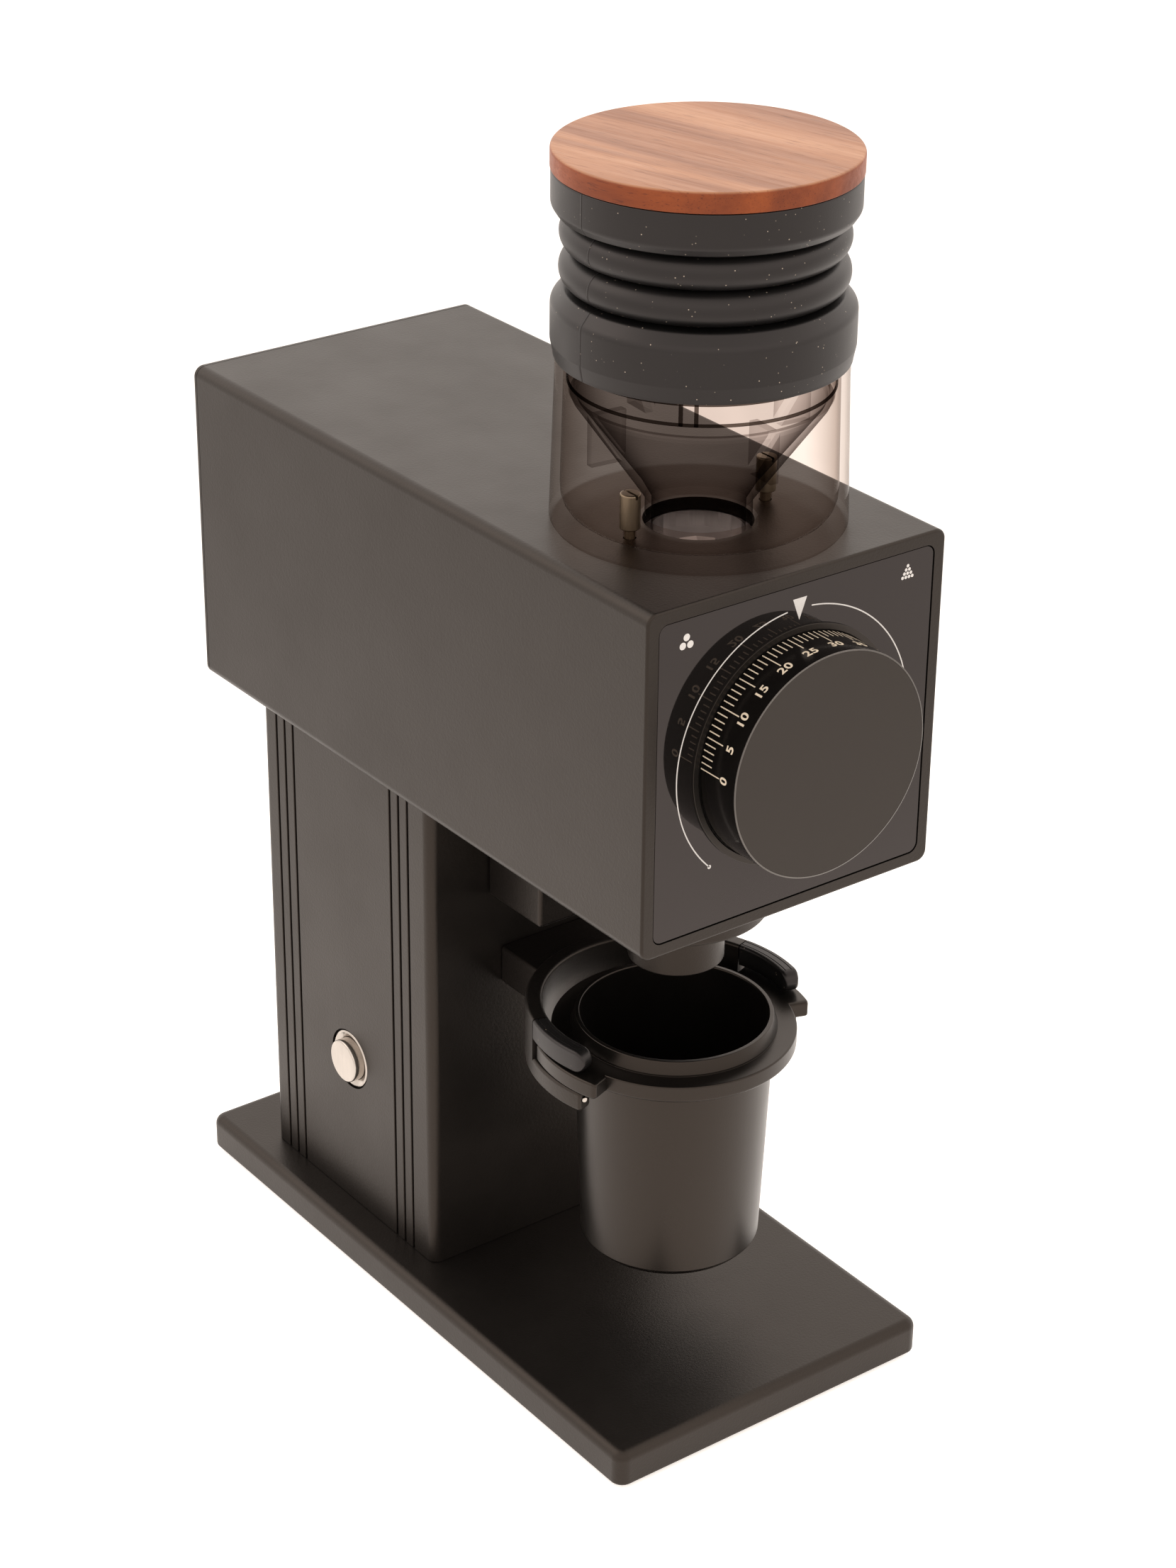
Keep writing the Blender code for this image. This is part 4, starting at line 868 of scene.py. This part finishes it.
def upright(name, angle, start, end, low, high, half):
    """A thin upright rib that runs outward from the hopper's axis at an angle."""
    rib = block(name, (start, -half, low), (end, half, high), [(runs_along(2), 0.2, 3)])
    rib.transform(Matrix.Translation((0, HOPPER_Y * MM, 0)) @ Matrix.Rotation(math.radians(angle), 4, "Z"))
    return rib


def bellows():
    """One silicone moulding: it grips the hopper's neck, folds, and holds the lid."""
    folds, swell, wall = ((340.35, 37.8), (349.9, 37.7)), 4.72, 1.3
    profile = [
        (0, 366.6), (39.9, 366.6, 0.6), (39.9, 357.6, 2.4), (38.4, 355.3, 1.0), (33.0, 354.72, 0.2),
        *arc((folds[1][1] - swell, folds[1][0]), swell, 82, -82, 16), (32.9, 345.12, 0.1),
        *arc((folds[0][1] - swell, folds[0][0]), swell, 82, -82, 16), (33.0, 335.55, 0.1),
        (36.9, 335.1, 1.5), (39.9, 331.6, 3.4), (39.9, 321.4, 1.6), (39.2, 317.8, 0.6), (39.1, 317.0, 0.2),
        (38.7, 317.0, 0.1), (38.7, 326.3), (33.0, 327.6, 1.0), (31.7, 335.6, 0.8),
        *arc((folds[0][1] - swell, folds[0][0]), swell - wall, -60, 60, 8), (31.7, 345.12, 0.8),
        *arc((folds[1][1] - swell, folds[1][0]), swell - wall, -60, 60, 8), (31.8, 354.6, 0.8),
        (33.0, 361.0, 1.0), (0, 361.0),
    ]
    mesh = lathe("bellows", profile, (0, HOPPER_Y, 0), sides=LARGE)
    thing = piece("silicone_bellows", mesh, "bellows_silicone",
                  "bellows_collar", "bellows_folds", "bellows_rim", body="blend")
    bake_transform(thing)


def lid():
    low, high = LID
    radius = (high.x - low.x) / 2
    profile = [(0, high.z), (radius, high.z, 0.9), (radius, low.z, 0.35), (0, low.z)]
    piece("lid_disc", lathe("lid", profile, (0, HOPPER_Y, 0), sides=LARGE), "wood", "lid")


# ---------------------------------------------------------------- chute, fork and cup

def chute():
    low, high = COLLAR
    outer, bore = (high.x - low.x) / 2, 12.0
    profile = [(outer, high.z), (outer, low.z, 0.8), (14.1, low.z, 0.3), (14.1, high.z)]
    piece("chute_ring", lathe("ring", profile, (0, CUP_Y, 0), sides=MEDIUM, ring=True), "powder_black",
          "chute_collar")
    low, high = box_mm("chute_tube")
    profile = [(13.8, high.z), (13.8, low.z, 0.5), (bore, low.z, 0.3), (bore, high.z)]
    piece("chute_pipe", lathe("pipe", profile, (0, CUP_Y, 0), sides=MEDIUM, ring=True), "powder_black",
          "chute_tube")
    low, high = BRACKET
    mesh = block("neck", low, high, [(runs_along(2), 1.2, 5), (lies_on(2, False), 1.0, 4)])
    piece("neck_bracket", mesh, "powder_black", "housing_bracket")


def fork():
    """The ring, open to the front, its arm, and on each side a sleeved tip over a ledge with a pin."""
    inner, outer = 36.4, FORK_RADIUS
    low, high = FORK[0].z, 118.8
    slot_low, slot_high = 105.9, 112.0
    slot_angle, tip, ledge, core, ease = 17.5, 12.0, 15.5, 1.3, 1.0
    stations = [(a, inner, outer, low, high) for a in spaced(slot_angle, 180 - slot_angle, 60)]
    ring = bent_bar("ring", FORK_Y, stations, ease)
    arm = block("arm", (-20.3, FORK_Y + outer - 5.0, 104.5), (20.3, FORK[1].y, 116.9),
                [(runs_along(1), ease, 4), (lies_on(1, True), 0.4, 2)])
    hollow = rod("hollow", (0, FORK_Y, 110), (inner + outer) / 2, 30, sides=LARGE)
    joins = [combined("arm", arm, cuts=[hollow])]
    cuts = []
    for name, side in (("right", 1), ("left", -1)):
        bar = [(a, inner + core, outer - core, slot_high + core, high - core)
               for a in spaced(slot_angle + 4, -tip, 20)]
        joins.append(bent_bar("tip", FORK_Y, bar, 0.4, side))
        bar = [(a, inner, outer, low, slot_low) for a in spaced(slot_angle + 4, 1.2 - ledge, 24)]
        bar += closing(inner, outer, low, slot_low, 1.2 - ledge, -ledge, 0.8)
        joins.append(bent_bar("ledge", FORK_Y, bar, ease, side))
        pad(name, side, inner, outer, slot_high, high, slot_angle - 0.6, tip)
        spot = middle_mm(f"fork_pin_{name}")
        front = box_mm(f"fork_pin_{name}")[0].y
        pin = [(0, 0), (0.9, 0, 0.6), (0.9, -5.7), (0, -5.7)]
        piece(f"ledge_pin_{name}", lathe("pin", pin, (spot.x, front, spot.z), "front", 32), "steel",
              f"fork_pin_{name}")
        cuts.append(rod("pin_hole", (spot.x, front + 3, spot.z), 1.1, 12, "front", 24))
    piece("fork_body", combined("ring", ring, joins, cuts), "powder_black", "fork")


def pad(name, side, inner, outer, low, high, start, tip):
    """The rubber sleeve on an upper tip, with a round end and two fine grooves along its top."""
    stations = [(a, inner, outer, low, high) for a in spaced(start, -tip, 30)]
    end = []
    middle, half = (low + high) / 2, (high - low) / 2
    for i in range(1, 11):
        share = math.sin(math.radians(NEARLY_CLOSED) * i / 10)
        rise = half * math.sqrt(1 - share ** 2)
        inset = 0.9 * (1 - math.sqrt(1 - share ** 2))
        end.append((-tip - 5.0 * share, inner + inset, outer - inset, middle - rise, middle + rise))
    sleeve = bent_bar("sleeve", FORK_Y, stations + end, 0.9, side)
    room = [(a, inner + 1, outer - 1, low + 1, high - 1) for a in spaced(start + 4, -tip - 0.5, 20)]
    cuts = [bent_bar("room", FORK_Y, room, 0.3, side)]
    for radius in (37.75, 39.65):
        line = [(a, radius - 0.16, radius + 0.16, high - 0.22, high + 1)
                for a in spaced(start + 2, -tip - 1, 24)]
        cuts.append(bent_bar("line", FORK_Y, line, 0.02, side))
    piece(f"tip_pad_{name}", combined("sleeve", sleeve, cuts=cuts), "silicone", f"fork_pad_{name}")


def cup():
    """The cup's wall from the inside of its floor up over the rim and down, and two lugs."""
    low, high = CUP
    step, under, flange, rim = 111.5, 106.4, 35.5, 28.7
    profile = [
        (0, low.z + 2.4), (22.0, low.z + 2.4, 2.5), (25.0, low.z + 6.0, 1.0), (26.4, 92.5),
        (27.15, high.z - 0.6), (27.5, high.z, 0.3), (rim, high.z, 0.35), (29.9, step + 0.5, 0.3),
        (29.9, step, 0.1), (flange, step, 0.5), (flange, under, 0.9), (29.2, under, 0.2),
        (28.6, under - 1.0, 0.3), (28.3, 92.5), (26.35, low.z + 2.0, 0.8), (24.6, low.z, 1.0),
        (22.6, low.z, 0.3), (22.2, low.z + 0.5, 0.2), (0, low.z + 0.5),
    ]
    body = lathe("cup", profile, (0, CUP_Y, 0), sides=LARGE)
    joins = []
    for side in (1, -1):
        bar = closing(flange - 4, 41.5, under, step, 17.5, 20, 0.8)[::-1]
        bar += [(a, flange - 4, 41.5, under, step) for a in spaced(17.5, -17.5, 20)]
        bar += closing(flange - 4, 41.5, under, step, -17.5, -20, 0.8)
        joins.append(bent_bar("lug", CUP_Y, bar, 0.7, side))
    piece("cup_body", combined("cup", body, joins), "satin_black", "cup")


# ---------------------------------------------------------------- button and inlet

def button():
    centre = (COLUMN[0].x, COLUMN_Y, BUTTON_Z)
    bore, radius = 7.0, 9.2
    profile = [
        (0, -12), (bore, -12), (bore, -1.0, 0.1), (radius - 0.55, -0.02, 0.15), (radius, -0.3, 0.15),
        (radius, -1.4), (7.9, -1.4), (7.9, -22), (0, -22),
    ]
    piece("button_ring", lathe("ring", profile, centre, "left", MEDIUM), "steel", "button_housing")
    cap = [(0, 2.7), (6.85, 2.7, 0.7), (6.85, -7), (0, -7)]
    piece("push_button", lathe("cap", cap, centre, "left", MEDIUM), "steel", "button_cap")


def inlet():
    low, high = INLET
    z, rear = (low.z + high.z) / 2, COLUMN[1].y
    flange = block("flange", (low.x, rear + 0.1, low.z), high,
                   [(runs_along(1), 2.0, 8), (lies_on(1, True), 0.5, 3)])
    body = block("body", (-13.8, low.y, z - 10), (13.8, rear + 1.5, z + 10))
    opening = [(-12.2, -8.4), (12.2, -8.4), (12.2, 4.6), (8.6, 8.4), (-8.6, 8.4), (-12.2, 4.6)]
    recess = flat("recess", [opening], 40, centre=(0, rear - 14 + 20, z), turn="front")
    piece("inlet_body", combined("flange", flange, [body], [recess]), "plastic_black", "power_inlet")
    blades = bmesh.new()
    for x, up in ((-7, 0.0), (0, 3.0), (7, 0.0)):
        blade = block("blade", (x - 1, rear - 16, z - 2 + up), (x + 1, rear - 1, z + 2 + up),
                      [(lies_on(1, True), 0.5, 3)])
        blades.from_mesh(blade)
    piece("inlet_blades", finished("blades", blades), "steel", body="root")


for make in (base, column, housing, panel, dial, hopper, bellows, lid, chute, fork, cup, button, inlet):
    make()

CARRIED_OVER = {
    "steel": (
        "base_screw_front_left", "base_screw_front_right", "base_screw_rear_left", "base_screw_rear_right",
        "auger", "inner_burr", "outer_burr", "sweeper", "drive_shaft", "front_bearing", "rear_bearing",
        "motor_shaft", "motor_pinion", "button_nut",
    ),
    "brass": ("burr_carrier", "drive_gear"),
    "aluminium": ("grind_chamber", "motor_plate", "board_bracket"),
    "satin_dark": ("motor",),
    "board_green": ("control_board",),
}
for slot, nodes in CARRIED_OVER.items():
    for node in nodes:
        materials = frame["nodes"][node].data.materials
        materials.clear()
        materials.append(LOOKS[slot])


# ---------------------------------------------------------------- studio and camera

def studio():
    """A warm dome that is brightest above the horizon. The camera itself sees plain white instead."""
    world = bpy.data.worlds.new("studio")
    bpy.context.scene.world = world
    world.use_nodes = True
    nodes, links = world.node_tree.nodes, world.node_tree.links
    nodes.clear()
    place = nodes.new("ShaderNodeTexCoord").outputs["Generated"]
    split = nodes.new("ShaderNodeSeparateXYZ")
    links.new(place, split.inputs[0])
    ramp = nodes.new("ShaderNodeValToRGB")
    warm = Vector((1.0, 0.93, 0.87))
    stops = ((0.0, 1.3), (0.5, 1.35), (0.72, 1.95), (1.0, 1.5))
    while len(ramp.color_ramp.elements) < len(stops):
        ramp.color_ramp.elements.new(0.5)
    for element, (position, level) in zip(ramp.color_ramp.elements, stops):
        element.position, element.color = position, (*(warm * level), 1.0)
    rise = nodes.new("ShaderNodeMapRange")
    rise.inputs["From Min"].default_value = -1.0
    links.new(split.outputs["Z"], rise.inputs["Value"])
    links.new(rise.outputs["Result"], ramp.inputs["Fac"])
    dome, white = nodes.new("ShaderNodeBackground"), nodes.new("ShaderNodeBackground")
    links.new(ramp.outputs["Color"], dome.inputs["Color"])
    white.inputs["Color"].default_value = (1.3, 1.3, 1.3, 1.0)
    seen = nodes.new("ShaderNodeLightPath").outputs["Is Camera Ray"]
    mix, output = nodes.new("ShaderNodeMixShader"), nodes.new("ShaderNodeOutputWorld")
    links.new(seen, mix.inputs[0])
    links.new(dome.outputs[0], mix.inputs[1])
    links.new(white.outputs[0], mix.inputs[2])
    links.new(mix.outputs[0], output.inputs["Surface"])
    soft_light("upper_left", (-1.1, 0.9, 1.5), 1.3, 5.0)
    floor()


def soft_light(name, place, size, watts):
    light = bpy.data.lights.new(name, "AREA")
    light.shape, light.size, light.energy = "DISK", size, watts
    light.color = (1.0, 0.90, 0.82)
    lamp = bpy.data.objects.new(name, light)
    lamp.location = place
    lamp.rotation_euler = (Vector((0, 0, 0.2)) - Vector(place)).to_track_quat("-Z", "Y").to_euler()
    bpy.context.scene.collection.objects.link(lamp)


def floor():
    """A pale floor that glows a little round the object, so that it comes out as white as the wall."""
    look = Look("studio_floor", (0.86, 0.85, 0.84), 0.8, Specular_IOR_Level=0.1)
    cloud = look.noise(400.0)
    look.set("Base Color", look.ramp(cloud, (0.3, (0.79, 0.785, 0.78)), (0.7, (0.81, 0.805, 0.80))))
    look.shader.inputs["Emission Color"].default_value = (1.0, 0.93, 0.87, 1.0)
    reach = look.nodes.new("ShaderNodeVectorMath")
    reach.operation = "LENGTH"
    look.links.new(look.place, reach.inputs[0])
    look.set("Emission Strength", look.span(reach.outputs["Value"], 0.16, 0.60, 0.65, 0.0))
    bm = bmesh.new()
    bmesh.ops.create_circle(bm, cap_ends=True, segments=96, radius=6.0)
    mesh = bpy.data.meshes.new("floor")
    bm.to_mesh(mesh)
    bm.free()
    mesh.materials.append(look.material)
    thing = bpy.data.objects.new("floor", mesh)
    bpy.context.scene.collection.objects.link(thing)


def light_paths():
    """Enough bounces, taken without chance, for light to cross the hopper's many clear walls."""
    paths = bpy.context.scene.cycles
    paths.transparent_max_bounces, paths.min_transparent_bounces = 32, 24


def camera():
    """The main view, a little rolled and shifted."""
    data = bpy.data.cameras.new("camera")
    data.lens, data.sensor_width = 78.52, 36.0
    data.shift_x, data.shift_y = -0.00883, -0.00223
    data.clip_start, data.clip_end = 0.05, 50.0
    azimuth, elevation, roll = (math.radians(a) for a in (37.214, 27.082, 0.742))
    forward = Vector((math.sin(azimuth) * math.cos(elevation), math.cos(azimuth) * math.cos(elevation),
                      -math.sin(elevation)))
    right = Vector((math.cos(azimuth), -math.sin(azimuth), 0.0))
    up = right.cross(forward)
    tilted_right = math.cos(roll) * right + math.sin(roll) * up
    tilted_up = math.cos(roll) * up - math.sin(roll) * right
    made = bpy.data.objects.new("camera", data)
    turn = Matrix((tilted_right, tilted_up, -forward)).transposed().to_4x4()
    made.matrix_world = Matrix.Translation((-0.52929, -0.71573, 0.62227)) @ turn
    bpy.context.scene.collection.objects.link(made)
    bpy.context.scene.camera = made


studio()
light_paths()
camera()
bpy.context.scene.view_settings.view_transform = "Standard"
